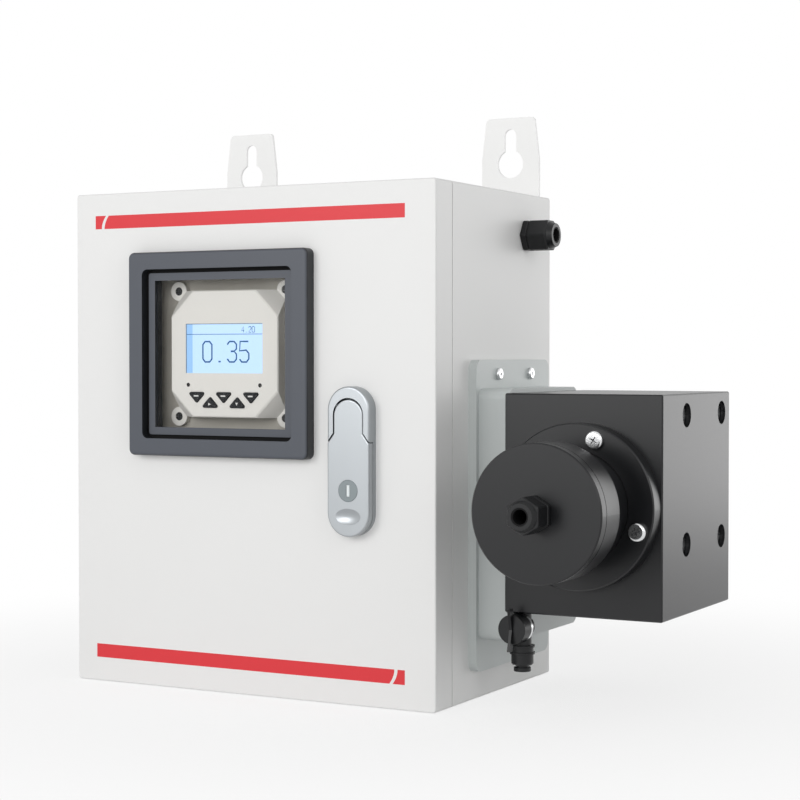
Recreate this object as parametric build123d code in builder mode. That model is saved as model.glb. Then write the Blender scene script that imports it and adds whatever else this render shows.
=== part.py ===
from build123d import *
import os

os.makedirs("parts", exist_ok=True)

# Wall-hung turbidity meter, in millimetres.
# Origin: midway between the two hanging holes, on the wall plane. +Z up, the door faces -Y,
# and the measuring block hangs on the +X side.

# Cabinet
cabinet_width = 333.0
cabinet_height = 400.0
cabinet_depth = 209.5
sheet = 1.5
corner_radius = 2.5
door_return = 27.0
door_gap = 1.0
door_edge = 1.4
collar_inset = 11.0
lip_width = 10.0
seal_thickness = 3.2
seal_width = 14.0

# Hanging tabs
tab_thickness = 2.5
tab_spacing = 260.0
tab_width = 53.0
tab_top_width = 44.6
tab_hole_rise = 30.0
tab_hole_radius = 11.8
tab_slot_width = 10.7
tab_slot_rise = 24.0
tab_top_margin = 9.8
tab_shoulder_rise = 4.0
tab_overlap = 52.0
tab_corner = 4.0
tab_screw_spacing = 26.0
tab_screw_radius = 2.5
tab_screw_head = 4.8
tab_screw_head_height = 3.0

# Inside the cabinet, heights measured from the cabinet's bottom
plate_width = 270.0
plate_height = 330.0
plate_thickness = 2.0
plate_standoff = 8.0
stud_radius = 3.0
stud_inset = 12.0
stud_nut_flats = 10.0
stud_nut_height = 5.0
rail_length = 240.0
rail_height = 35.0
rail_crown = 27.0
rail_depth = 7.5
rail_sheet = 1.0
rail_rise = 112.0
supply_width = 72.0
supply_height = 92.0
supply_depth = 58.0
supply_x = -78.0
terminal_width = 6.2
terminal_pitch = 6.5
terminal_height = 60.0
terminal_depth = 42.0
terminal_count = 12
terminal_x = 40.0

# Hinges on the left edge
hinge_pin_radius = 2.2
knuckle_radius = 4.5
knuckle_length = 30.0
hinge_offset = 5.0
hinge_rise = 130.0
leaf_thickness = 2.0
leaf_width = 22.0

# Door window, places measured from the cabinet's centre line and its top edge
window_x = -23.0
window_drop = 131.0
bezel_width = 168.0
bezel_height = 163.0
bezel_proud = 11.0
bezel_ring = 13.8
bezel_corner = 5.0
bezel_edge = 2.5
bezel_floor = 1.5
groove_width = 3.0
inner_frame_width = 6.0
sleeve_step = 0.5
inner_frame_drop = 5.5
pane_thickness = 2.0
collar_wall = 2.6
collar_depth = 5.0
clamp_width = 11.0
clamp_thickness = 3.0

# Controller
face_size = 101.0
face_depth = 1.5
face_rise = 11.0
face_cut = 21.5
slope_cut = 7.8
ear_radius = 7.6
ear_thickness = 4.0
display_width = 72.5
display_height = 39.4
display_rise = 4.4
display_recess = 0.6
display_thickness = 2.0
key_width = 16.8
key_height = 8.7
key_radius = 1.2
key_pitch = 12.8
key_drop = 34.9
key_stagger = 3.5
key_proud = 1.2
key_travel = 1.0
key_length = 4.2
lamp_radius = 1.7
lamp_offset = 33.9
lamp_drop = 24.7
ear_screw_radius = 3.4
face_edge = 0.8
panel_width = 196.0
panel_height = 176.0
panel_thickness = 2.0
rear_size = 91.0
rear_length = 80.0
standoff_radius = 4.0
standoff_inset = 7.0

# Door lock
lock_x = 97.4
lock_drop = 212.8
lock_width = 36.3
lock_height = 114.3
lock_proud = 11.0
lock_floor = 4.5
tongue_width = 25.4
tongue_top_gap = 9.9
shoulder_drop = 36.0
shoulder_height = 7.3
handle_thickness = 6.0
pivot_radius = 1.5
pivot_drop = 15.4
pivot_depth = 7.5
plug_radius = 8.4
plug_rise = 35.1
key_slot_width = 2.9
key_slot_length = 9.2
dimple_rise = 15.4
dimple_width = 21.5
dimple_height = 12.3
dimple_depth = 2.2
spindle_radius = 5.0
lock_boss_radius = 10.0
lock_boss_length = 7.2
lock_edge = 1.6
handle_edge = 1.2
handle_gap = 0.5
lift_room = 0.7
tongue_floor = 1.5
pivot_pocket = 5.0
pivot_length = 33.0
spindle_drop = 31.3
cam_length = 52.0
cam_width = 18.0
cam_thickness = 3.0

# Cable glands
gland_flats = 24.0
gland_thread_radius = 9.9
gland_flange = 5.3
gland_nut = 16.9
gland_dome = 4.6
gland_bore = 5.4
gland_tip_radius = 9.4
gland_neck_radius = 9.0
gland_seal_radius = 6.6
gland_chamfer = 0.8
locknut_thickness = 5.0
side_gland_depth = 162.0
side_gland_drop = 34.5

# Bracket: the spacer reaches past the block, and the plate reaches past the spacer
bracket_start = 54.8
bracket_bolt_margin = 8.4
bracket_foot = 24.7
bracket_head = 22.3
bracket_thickness = 7.0
bracket_corner = 8.0
spacer_start = 58.9
spacer_foot = 24.4
spacer_head = 3.0
spacer_thickness = 25.6
spacer_wall = 4.0
bracket_screw_radius = 2.5
bracket_screw_head = 4.8
bracket_head_height = 3.0
bracket_screw_spacing = 59.8

# Measuring block
block_width = 127.0
block_depth = 151.4
block_height = 167.0
block_start = 51.4
block_bottom = 72.1
block_edge = 1.0
bolt_radius = 5.0
bolt_head_radius = 8.0
bolt_head_length = 10.0
counterbore_radius = 9.2
counterbore_depth = 14.0
bolt_front = 51.5
bolt_back = 132.0
bolt_low = 53.2
bolt_high = 150.7
chamber_radius = 40.0
chamber_depth = 34.0
tube_radius = 20.0
tube_depth = 130.0
outlet_radius = 5.9
feed_radius = 4.0
feed_rise = 58.0

# Sensor cap and flange
flange_radius = 62.3
flange_thickness = 14.4
flange_screw_circle = 52.5
flange_screw_turn = -18.0
flange_screw_radius = 4.0
flange_screw_head = 6.9
flange_screw_length = 30.0
flange_head_height = 4.0
flange_seal_width = 2.5
cap_radius = 50.6
cap_length = 33.0
cap_front_ring = 8.5
cap_groove = 0.8
neck_radius = 42.0
cap_wall = 8.0
cap_gland_turn = 30.0
cap_floor = 6.4
cavity_radius = 30.0
probe_head_radius = 24.0
probe_head_height = 3.0
neck_length = 37.5
probe_radius = 14.0
probe_length = 90.0
probe_window_radius = 3.0

# Sample valve and push-fit socket
valve_inset = 9.7
valve_depth = 63.0
knob_radius = 11.2
knob_drop = 11.7
knob_front = 43.0
knob_length = 12.0
wing_height = 32.4
wing_thickness = 2.2
wing_proud = 6.0
stem_radius = 3.0
ring_length = 3.0
barrel_radius = 8.4
riser_radius = 7.0
riser_thread_radius = 6.4
riser_thread_length = 8.0
barrel_wall = 1.2
socket_radius = 8.5
socket_collar = 9.6
socket_bottom = 31.3
socket_height = 15.1
socket_rib = 1.4
hose_bore = 4.0
sleeve_radius = 4.8
sleeve_flange = 6.6
sleeve_length = 13.0
sleeve_stand = 5.0
sleeve_travel = 1.5

# Clearances
slip = 0.3
running = 0.05

# Places that follow from the sizes above
top_z = -tab_hole_rise
bottom_z = top_z - cabinet_height
middle_z = (top_z + bottom_z) / 2
front_y = -tab_thickness - cabinet_depth
side_x = cabinet_width / 2
seam = door_return + door_gap
collar_front = sheet + seal_thickness + slip
window_z = top_z - window_drop


def facing_front(depth):
    """Plane parallel to the door, depth behind its outer face. Extrusion runs to the front."""
    return Plane.XZ.offset(-(front_y + depth))


def facing_side(x):
    """Plane parallel to the right side wall at x. Extrusion runs outwards, local X runs back."""
    return Plane.YZ.offset(x)


def save(builder, label):
    """Label a finished piece and write it as one STEP file."""
    builder.part.label = label
    export_step(builder.part, f"parts/{label}.step")


# Cabinet body: a folded box with a turned front edge, a collar for the door seal and a lip
body_depth = cabinet_depth - seam
collar_width = cabinet_width - 2 * collar_inset
collar_height = cabinet_height - 2 * collar_inset
lip_opening_width = collar_width - 2 * sheet - 2 * lip_width
lip_opening_height = collar_height - 2 * sheet - 2 * lip_width
side_gland_y = front_y + side_gland_depth
side_gland_z = top_z - side_gland_drop
bracket_depth = block_start + bolt_back + bracket_bolt_margin - bracket_start
spacer_bottom = block_bottom - spacer_foot
spacer_height = spacer_foot + block_height + spacer_head
bracket_bottom = spacer_bottom - bracket_foot
bracket_height = bracket_foot + spacer_height + bracket_head
bracket_y = front_y + bracket_start + bracket_depth / 2
bracket_z = bottom_z + bracket_bottom + bracket_height / 2
spacer_z = bottom_z + spacer_bottom + spacer_height / 2
spacer_top_z = spacer_z + spacer_height / 2
spacer_depth = bracket_start + bracket_depth - spacer_start
spacer_y = front_y + spacer_start + spacer_depth / 2
bracket_top_z = bracket_z + bracket_height / 2
bracket_screw_places = [
    (bracket_y - bracket_screw_spacing / 2, (bracket_top_z + spacer_top_z) / 2),
    (bracket_y + bracket_screw_spacing / 2, (bracket_top_z + spacer_top_z) / 2),
    (bracket_y, bottom_z + (bracket_bottom + spacer_bottom) / 2),
]
tab_screw_z = top_z - tab_overlap / 2
tab_screw_places = [
    (side * tab_spacing / 2 + end * tab_screw_spacing / 2, tab_screw_z)
    for side in (-1, 1)
    for end in (-1, 1)
]

with BuildPart() as cabinet_body:
    with BuildSketch(facing_front(cabinet_depth)):
        with Locations((0, middle_z)):
            RectangleRounded(cabinet_width, cabinet_height, corner_radius)
    extrude(amount=body_depth)
    with BuildSketch(facing_front(cabinet_depth - sheet)):
        with Locations((0, middle_z)):
            Rectangle(cabinet_width - 2 * sheet, cabinet_height - 2 * sheet)
    extrude(amount=body_depth - 2 * sheet, mode=Mode.SUBTRACT)
    with BuildSketch(facing_front(seam + sheet)):
        with Locations((0, middle_z)):
            Rectangle(collar_width, collar_height)
    extrude(amount=seam + sheet - collar_front)
    with BuildSketch(facing_front(seam + sheet)):
        with Locations((0, middle_z)):
            Rectangle(collar_width - 2 * sheet, collar_height - 2 * sheet)
    extrude(amount=seam - collar_front, mode=Mode.SUBTRACT)
    with BuildSketch(facing_front(seam + sheet)):
        with Locations((0, middle_z)):
            Rectangle(lip_opening_width, lip_opening_height)
    extrude(amount=seam + sheet, mode=Mode.SUBTRACT)
    with BuildSketch(facing_side(side_x - 2 * sheet)):
        with Locations((side_gland_y, side_gland_z)):
            Circle(gland_thread_radius + slip)
        with Locations(*bracket_screw_places):
            Circle(bracket_screw_radius + slip)
    extrude(amount=3 * sheet, mode=Mode.SUBTRACT)
    with BuildSketch(facing_front(cabinet_depth)):
        with Locations(*tab_screw_places):
            Circle(tab_screw_radius + slip)
    extrude(amount=2 * sheet, mode=Mode.SUBTRACT)
save(cabinet_body, "cabinet_body")

# Hanging tabs: tapered plates with a keyhole, screwed to the back
tab_top = tab_slot_rise + tab_slot_width / 2 + tab_top_margin
for side, label in ((-1, "hanging_tab_left"), (1, "hanging_tab_right")):
    tab_x = side * tab_spacing / 2
    with BuildPart() as hanging_tab:
        with BuildSketch(Plane.XZ) as tab_outline:
            with BuildLine():
                Polyline(
                    (tab_x - tab_width / 2, top_z - tab_overlap),
                    (tab_x + tab_width / 2, top_z - tab_overlap),
                    (tab_x + tab_width / 2, tab_shoulder_rise),
                    (tab_x + tab_top_width / 2, tab_top),
                    (tab_x - tab_top_width / 2, tab_top),
                    (tab_x - tab_width / 2, tab_shoulder_rise),
                    close=True,
                )
            make_face()
            fillet(tab_outline.vertices().group_by(Axis.Y)[-1], tab_corner)
            with Locations((tab_x, 0)):
                Circle(tab_hole_radius, mode=Mode.SUBTRACT)
            with Locations((tab_x, tab_slot_rise / 2)):
                SlotCenterToCenter(tab_slot_rise, tab_slot_width, rotation=90, mode=Mode.SUBTRACT)
            with Locations(*tab_screw_places):
                Circle(tab_screw_radius, mode=Mode.SUBTRACT)
        extrude(amount=tab_thickness)
    save(hanging_tab, label)

with BuildPart() as hanging_tab_screws:
    with BuildSketch(Plane.XZ):
        with Locations(*tab_screw_places):
            Circle(tab_screw_radius)
    extrude(amount=tab_thickness + sheet)
    with BuildSketch(facing_front(cabinet_depth - sheet)):
        with Locations(*tab_screw_places):
            Circle(tab_screw_head)
    extrude(amount=tab_screw_head_height)
save(hanging_tab_screws, "hanging_tab_screws")

# Door: a pan of folded sheet, with cut-outs for the window and the lock
opening_width = bezel_width - 2 * (bezel_ring + groove_width + inner_frame_width)
opening_height = bezel_height - 2 * (bezel_ring + groove_width + inner_frame_width)
sleeve_width = opening_width + 2 * sleeve_step
sleeve_height = opening_height + 2 * sleeve_step
cutout_width = sleeve_width + 2 * (collar_wall + slip)
cutout_height = sleeve_height + 2 * (collar_wall + slip)
lock_z = top_z - lock_drop
lock_top = lock_z + lock_height / 2
spindle_z = lock_top - spindle_drop

with BuildPart() as door_panel:
    with BuildSketch(facing_front(door_return)):
        with Locations((0, middle_z)):
            RectangleRounded(cabinet_width, cabinet_height, corner_radius)
    extrude(amount=door_return)
    fillet(door_panel.faces().sort_by(Axis.Y)[0].edges(), door_edge)
    with BuildSketch(facing_front(door_return)):
        with Locations((0, middle_z)):
            Rectangle(cabinet_width - 2 * sheet, cabinet_height - 2 * sheet)
    extrude(amount=door_return - sheet, mode=Mode.SUBTRACT)
    with BuildSketch(facing_front(sheet)):
        with Locations((window_x, window_z)):
            Rectangle(cutout_width, cutout_height)
        with Locations((lock_x, spindle_z)):
            Circle(lock_boss_radius + slip)
    extrude(amount=sheet, mode=Mode.SUBTRACT)
save(door_panel, "door_panel")

with BuildPart() as door_seal:
    with BuildSketch(facing_front(sheet + seal_thickness)):
        with Locations((0, middle_z)):
            Rectangle(collar_width - sheet + seal_width, collar_height - sheet + seal_width)
            Rectangle(collar_width - sheet - seal_width, collar_height - sheet - seal_width, mode=Mode.SUBTRACT)
    extrude(amount=seal_thickness)
save(door_seal, "door_seal")

# Hinges: a leaf and knuckle on the body, a leaf and knuckle on the door, and a pin in each pair
hinge_x = -side_x - hinge_offset
hinge_y = front_y + door_return + door_gap / 2
body_leaf_y = hinge_y + door_gap / 2 + leaf_width / 2
door_leaf_y = hinge_y - door_gap / 2 - leaf_width / 2
hinge_levels = [middle_z - hinge_rise, middle_z + hinge_rise]


def hinge_half(start, leaf_y, bore):
    """Knuckle and leaf of one hinge side at both hinges, from start above each level."""
    with BuildPart() as half:
        for level in hinge_levels:
            with BuildSketch(Plane.XY.offset(level + start)):
                with Locations((hinge_x, hinge_y)):
                    Circle(knuckle_radius)
                with Locations((-side_x - leaf_thickness / 2, leaf_y)):
                    Rectangle(leaf_thickness, leaf_width)
                with Locations((hinge_x, hinge_y)):
                    Circle(bore, mode=Mode.SUBTRACT)
            extrude(amount=knuckle_length - slip)
    return half


hinge_leaves_body = hinge_half(-knuckle_length, body_leaf_y, hinge_pin_radius)
save(hinge_leaves_body, "hinge_leaves_body")
hinge_leaves_door = hinge_half(0, door_leaf_y, hinge_pin_radius + running)
save(hinge_leaves_door, "hinge_leaves_door")

with BuildPart() as hinge_pins:
    for level in hinge_levels:
        with BuildSketch(Plane.XY.offset(level - knuckle_length)):
            with Locations((hinge_x, hinge_y)):
                Circle(hinge_pin_radius)
        extrude(amount=2 * knuckle_length)
save(hinge_pins, "hinge_pins")

# Mounting plate inside, on four studs, with a rail, a power supply and a row of terminals
plate_depth = cabinet_depth - sheet - plate_standoff
plate_front = plate_depth - plate_thickness
rail_front = plate_front - rail_depth
rail_z = bottom_z + rail_rise
stud_span_x = plate_width - 2 * stud_inset
stud_span_z = plate_height - 2 * stud_inset

with BuildPart() as mounting_plate:
    with BuildSketch(facing_front(plate_depth)):
        with Locations((0, middle_z)):
            RectangleRounded(plate_width, plate_height, corner_radius)
            with GridLocations(stud_span_x, stud_span_z, 2, 2):
                Circle(stud_radius + slip, mode=Mode.SUBTRACT)
    extrude(amount=plate_thickness)
save(mounting_plate, "mounting_plate")

with BuildPart() as plate_studs:
    with BuildSketch(facing_front(cabinet_depth - sheet)):
        with Locations((0, middle_z)):
            with GridLocations(stud_span_x, stud_span_z, 2, 2):
                Circle(stud_nut_flats / 2)
    extrude(amount=plate_standoff)
    with BuildSketch(facing_front(plate_depth)):
        with Locations((0, middle_z)):
            with GridLocations(stud_span_x, stud_span_z, 2, 2):
                Circle(stud_radius)
    extrude(amount=plate_thickness + stud_nut_height + stud_radius)
    with BuildSketch(facing_front(plate_front)):
        with Locations((0, middle_z)):
            with GridLocations(stud_span_x, stud_span_z, 2, 2):
                RegularPolygon(stud_nut_flats / 2, 6, major_radius=False)
    extrude(amount=stud_nut_height)
save(plate_studs, "plate_studs")

with BuildPart() as din_rail:
    with BuildSketch(facing_side(-rail_length / 2)):
        with Locations((front_y + plate_front - rail_sheet / 2, rail_z)):
            Rectangle(rail_sheet, rail_crown)
        with Locations((front_y + plate_front - rail_depth / 2, rail_z)):
            with GridLocations(0, rail_crown - rail_sheet, 1, 2):
                Rectangle(rail_depth, rail_sheet)
        with Locations((front_y + rail_front + rail_sheet / 2, rail_z)):
            with GridLocations(0, rail_height - (rail_height - rail_crown) / 2, 1, 2):
                Rectangle(rail_sheet, (rail_height - rail_crown) / 2)
    extrude(amount=rail_length)
save(din_rail, "din_rail")

with BuildPart() as power_supply:
    with BuildSketch(facing_front(rail_front)):
        with Locations((supply_x, rail_z)):
            RectangleRounded(supply_width, supply_height, corner_radius)
    extrude(amount=supply_depth)
    with BuildSketch(facing_front(rail_front - supply_depth)):
        with Locations((supply_x, rail_z)):
            with GridLocations(0, supply_height * 0.78, 1, 2):
                Rectangle(supply_width * 0.8, supply_height * 0.1)
    extrude(amount=-supply_width * 0.1, mode=Mode.SUBTRACT)
save(power_supply, "power_supply")

with BuildPart() as terminal_blocks:
    with BuildSketch(facing_front(rail_front)):
        with Locations((terminal_x, rail_z)):
            with GridLocations(terminal_pitch, 0, terminal_count, 1):
                Rectangle(terminal_width, terminal_height)
    extrude(amount=terminal_depth * 0.6)
    with BuildSketch(facing_front(rail_front - terminal_depth * 0.6)):
        with Locations((terminal_x, rail_z)):
            with GridLocations(terminal_pitch, 0, terminal_count, 1):
                Rectangle(terminal_width, terminal_height * 0.6)
    extrude(amount=terminal_depth * 0.4)
save(terminal_blocks, "terminal_blocks")

# Door window: bezel with a sleeve through the door, seal, pane, inner frame and a clamp behind
pocket_width = bezel_width - 2 * bezel_ring
pocket_height = bezel_height - 2 * bezel_ring
frame_width = pocket_width - 2 * groove_width
frame_height = pocket_height - 2 * groove_width
pane_front = -bezel_floor - pane_thickness

with BuildPart() as window_bezel:
    with BuildSketch(facing_front(0)):
        with Locations((window_x, window_z)):
            RectangleRounded(bezel_width, bezel_height, bezel_corner)
    extrude(amount=bezel_proud)
    fillet(window_bezel.faces().sort_by(Axis.Y)[0].edges(), bezel_edge)
    with BuildSketch(facing_front(-bezel_floor)):
        with Locations((window_x, window_z)):
            RectangleRounded(pocket_width, pocket_height, bezel_corner)
    extrude(amount=bezel_proud, mode=Mode.SUBTRACT)
    with BuildSketch(facing_front(collar_depth)):
        with Locations((window_x, window_z)):
            Rectangle(sleeve_width + 2 * collar_wall, sleeve_height + 2 * collar_wall)
    extrude(amount=collar_depth)
    with BuildSketch(facing_front(collar_depth)):
        with Locations((window_x, window_z)):
            Rectangle(sleeve_width, sleeve_height)
    extrude(amount=collar_depth + bezel_floor, mode=Mode.SUBTRACT)
save(window_bezel, "window_bezel")

with BuildPart() as window_seal:
    with BuildSketch(facing_front(-bezel_floor)):
        with Locations((window_x, window_z)):
            RectangleRounded(pocket_width, pocket_height, bezel_corner)
            RectangleRounded(frame_width, frame_height, bezel_corner - groove_width, mode=Mode.SUBTRACT)
    extrude(amount=pane_thickness)
save(window_seal, "window_seal")

with BuildPart() as window_pane:
    with BuildSketch(facing_front(-bezel_floor)):
        with Locations((window_x, window_z)):
            RectangleRounded(frame_width, frame_height, bezel_corner - groove_width)
    extrude(amount=pane_thickness)
save(window_pane, "window_pane")

with BuildPart() as window_inner_frame:
    with BuildSketch(facing_front(pane_front)):
        with Locations((window_x, window_z)):
            RectangleRounded(frame_width, frame_height, bezel_corner - groove_width)
            Rectangle(opening_width, opening_height, mode=Mode.SUBTRACT)
    extrude(amount=inner_frame_drop + pane_front)
save(window_inner_frame, "window_inner_frame")

with BuildPart() as window_clamp_frame:
    with BuildSketch(facing_front(sheet + clamp_thickness)):
        with Locations((window_x, window_z)):
            RectangleRounded(cutout_width + 2 * clamp_width, cutout_height + 2 * clamp_width, bezel_corner)
            Rectangle(cutout_width, cutout_height, mode=Mode.SUBTRACT)
    extrude(amount=clamp_thickness)
save(window_clamp_frame, "window_clamp_frame")

# Instrument panel behind the window, on four standoffs
ear_depth = face_depth + face_rise
panel_depth = ear_depth + ear_thickness
standoff_span_x = panel_width - 2 * standoff_inset
standoff_span_z = panel_height - 2 * standoff_inset

with BuildPart() as instrument_panel:
    with BuildSketch(facing_front(panel_depth + panel_thickness)):
        with Locations((window_x, window_z)):
            RectangleRounded(panel_width, panel_height, corner_radius)
            Rectangle(rear_size + 2 * slip, rear_size + 2 * slip, mode=Mode.SUBTRACT)
            with GridLocations(standoff_span_x, standoff_span_z, 2, 2):
                Circle(standoff_radius / 2 + slip, mode=Mode.SUBTRACT)
    extrude(amount=panel_thickness)
save(instrument_panel, "instrument_panel")

with BuildPart() as panel_standoffs:
    with BuildSketch(facing_front(panel_depth)):
        with Locations((window_x, window_z)):
            with GridLocations(standoff_span_x, standoff_span_z, 2, 2):
                Circle(standoff_radius)
    extrude(amount=panel_depth - sheet)
    with BuildSketch(facing_front(panel_depth + panel_thickness)):
        with Locations((window_x, window_z)):
            with GridLocations(standoff_span_x, standoff_span_z, 2, 2):
                Circle(standoff_radius / 2)
    extrude(amount=panel_thickness)
    with BuildSketch(facing_front(panel_depth + panel_thickness)):
        with Locations((window_x, window_z)):
            with GridLocations(standoff_span_x, standoff_span_z, 2, 2):
                Circle(standoff_radius)
    extrude(amount=-panel_thickness)
save(panel_standoffs, "panel_standoffs")

# Controller front housing: an octagonal raised face whose cut corners slope down to screw ears
display_z = window_z + display_rise
lamp_z = window_z - lamp_drop
key_names = ["key_exit", "key_up", "key_menu", "key_down", "key_enter"]


def key_place(index):
    """Centre of a key: the even ones sit high, the odd ones low."""
    return (window_x + (index - 2) * key_pitch, window_z - key_drop - (index % 2) * key_stagger)


def key_corners(index):
    """Corners of a key's triangle: the even ones point down, the odd ones up."""
    x, z = key_place(index)
    point = -1 if index % 2 == 0 else 1
    return [
        (x - key_width / 2, z - point * key_height / 2),
        (x + key_width / 2, z - point * key_height / 2),
        (x, z + point * key_height / 2),
    ]


with BuildPart() as controller_front:
    with BuildSketch(facing_front(panel_depth)):
        with Locations((window_x, window_z)):
            Rectangle(face_size, face_size)
            with GridLocations(face_size, face_size, 2, 2):
                Circle(ear_radius)
    extrude(amount=ear_thickness)
    with BuildSketch(facing_front(ear_depth)) as slope_foot:
        with Locations((window_x, window_z)):
            Rectangle(face_size, face_size)
        chamfer(slope_foot.vertices(), slope_cut)
    with BuildSketch(facing_front(face_depth)) as slope_head:
        with Locations((window_x, window_z)):
            Rectangle(face_size, face_size)
        chamfer(slope_head.vertices(), face_cut)
    loft()
    chamfer(controller_front.faces().sort_by(Axis.Y)[0].edges(), face_edge)
    with BuildSketch(facing_front(face_depth)):
        with Locations((window_x, display_z)):
            Rectangle(display_width, display_height)
    extrude(amount=-(display_recess + display_thickness), mode=Mode.SUBTRACT)
    with BuildSketch(facing_front(face_depth)):
        with Locations((window_x, lamp_z)):
            with GridLocations(2 * lamp_offset, 0, 2, 1):
                Circle(lamp_radius)
    extrude(amount=-display_thickness, mode=Mode.SUBTRACT)
    for index in range(len(key_names)):
        with BuildSketch(facing_front(face_depth)) as key_pocket:
            with BuildLine():
                Polyline(*key_corners(index), close=True)
            make_face()
            fillet(key_pocket.vertices(), key_radius)
            offset(amount=slip)
        extrude(amount=-(key_length - key_proud + key_travel + slip), mode=Mode.SUBTRACT)
    with BuildSketch(facing_front(ear_depth)):
        with Locations((window_x, window_z)):
            with GridLocations(face_size, face_size, 2, 2):
                Circle(ear_screw_radius)
    extrude(amount=-ear_thickness, mode=Mode.SUBTRACT)
save(controller_front, "controller_front")

with BuildPart() as controller_rear:
    with BuildSketch(facing_front(panel_depth + rear_length)):
        with Locations((window_x, window_z)):
            RectangleRounded(rear_size, rear_size, corner_radius)
    extrude(amount=rear_length)
    with BuildSketch(facing_front(panel_depth + rear_length)):
        with Locations((window_x, window_z)):
            with GridLocations(0, rear_size * 0.5, 1, 2):
                Rectangle(rear_size * 0.85, rear_size * 0.16)
    extrude(amount=rear_size * 0.1, mode=Mode.SUBTRACT)
save(controller_rear, "controller_rear")

with BuildPart() as display:
    with BuildSketch(facing_front(face_depth + display_recess + display_thickness)):
        with Locations((window_x, display_z)):
            Rectangle(display_width, display_height)
    extrude(amount=display_thickness)
save(display, "display")

for index, label in enumerate(key_names):
    with BuildPart() as key:
        with BuildSketch(facing_front(face_depth - key_proud)) as key_outline:
            with BuildLine():
                Polyline(*key_corners(index), close=True)
            make_face()
            fillet(key_outline.vertices(), key_radius)
        extrude(amount=-key_length)
        chamfer(key.faces().sort_by(Axis.Y)[0].edges(), key_proud / 4)
    save(key, label)

with BuildPart() as indicator_lamps:
    with BuildSketch(facing_front(face_depth + display_thickness)):
        with Locations((window_x, lamp_z)):
            with GridLocations(2 * lamp_offset, 0, 2, 1):
                Circle(lamp_radius)
    extrude(amount=display_thickness)
save(indicator_lamps, "indicator_lamps")

with BuildPart() as controller_screws:
    with BuildSketch(facing_front(panel_depth)):
        with Locations((window_x, window_z)):
            with GridLocations(face_size, face_size, 2, 2):
                Circle(ear_screw_radius)
    extrude(amount=ear_thickness - slip)
    with BuildSketch(facing_front(ear_depth + slip)):
        with Locations((window_x, window_z)):
            with GridLocations(face_size, face_size, 2, 2):
                Rectangle(2 * ear_screw_radius, ear_screw_radius / 4)
    extrude(amount=-ear_thickness / 4, mode=Mode.SUBTRACT)
save(controller_screws, "controller_screws")

# Door lock: base with a horseshoe rim, a lift handle on a pivot pin, a key cylinder and a cam
pivot_y = front_y - pivot_depth
pivot_z = lock_top - pivot_drop
shoulder_z = lock_top - shoulder_drop
tongue_top = lock_top - tongue_top_gap
plug_z = lock_z - lock_height / 2 + plug_rise
dimple_z = lock_z - lock_height / 2 + dimple_rise
handle_back = lock_proud - handle_thickness


def handle_outline(gap, rise):
    """Tongue, shoulders and body of the lift handle, grown by gap, its top raised by rise."""
    half_tongue = tongue_width / 2 + gap
    half_body = lock_width / 2 + gap
    bottom = lock_top - lock_height - lock_edge - gap
    crown = tongue_top - tongue_width / 2 + rise
    with BuildSketch() as outline:
        with Locations((lock_x, crown)):
            Circle(half_tongue)
        with BuildLine():
            Polyline(
                (lock_x - half_body, bottom),
                (lock_x + half_body, bottom),
                (lock_x + half_body, shoulder_z - shoulder_height + gap),
                (lock_x + half_tongue, shoulder_z + gap),
                (lock_x + half_tongue, crown),
                (lock_x - half_tongue, crown),
                (lock_x - half_tongue, shoulder_z + gap),
                (lock_x - half_body, shoulder_z - shoulder_height + gap),
                close=True,
            )
        make_face()
    return outline.sketch


handle_shape = handle_outline(0, 0)
handle_recess = handle_outline(handle_gap, lift_room)

with BuildPart() as lock_base:
    with BuildSketch(facing_front(0)):
        with Locations((lock_x, lock_z)):
            SlotOverall(lock_height, lock_width, rotation=90)
    extrude(amount=lock_proud)
    fillet(lock_base.faces().sort_by(Axis.Y)[0].edges(), lock_edge)
    with BuildSketch(facing_front(-lock_floor)):
        add(handle_recess)
    extrude(amount=lock_proud, mode=Mode.SUBTRACT)
    with BuildSketch(facing_front(-tongue_floor)):
        with Locations((lock_x, tongue_top - tongue_width / 2 + lift_room)):
            Circle(tongue_width / 2 + handle_gap)
        with Locations((lock_x, pivot_z - pivot_pocket - lock_width / 2)):
            Rectangle(lock_width, lock_width, mode=Mode.SUBTRACT)
    extrude(amount=lock_floor, mode=Mode.SUBTRACT)
    with BuildSketch(facing_front(lock_boss_length)):
        with Locations((lock_x, spindle_z)):
            Circle(lock_boss_radius)
    extrude(amount=lock_boss_length)
    with BuildSketch(facing_front(lock_boss_length)):
        with Locations((lock_x, spindle_z)):
            Circle(spindle_radius + running)
    extrude(amount=lock_boss_length + lock_floor, mode=Mode.SUBTRACT)
    with BuildSketch(facing_side(lock_x - pivot_length / 2)):
        with Locations((pivot_y, pivot_z)):
            Circle(pivot_radius)
    extrude(amount=pivot_length, mode=Mode.SUBTRACT)
save(lock_base, "lock_base")

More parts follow.
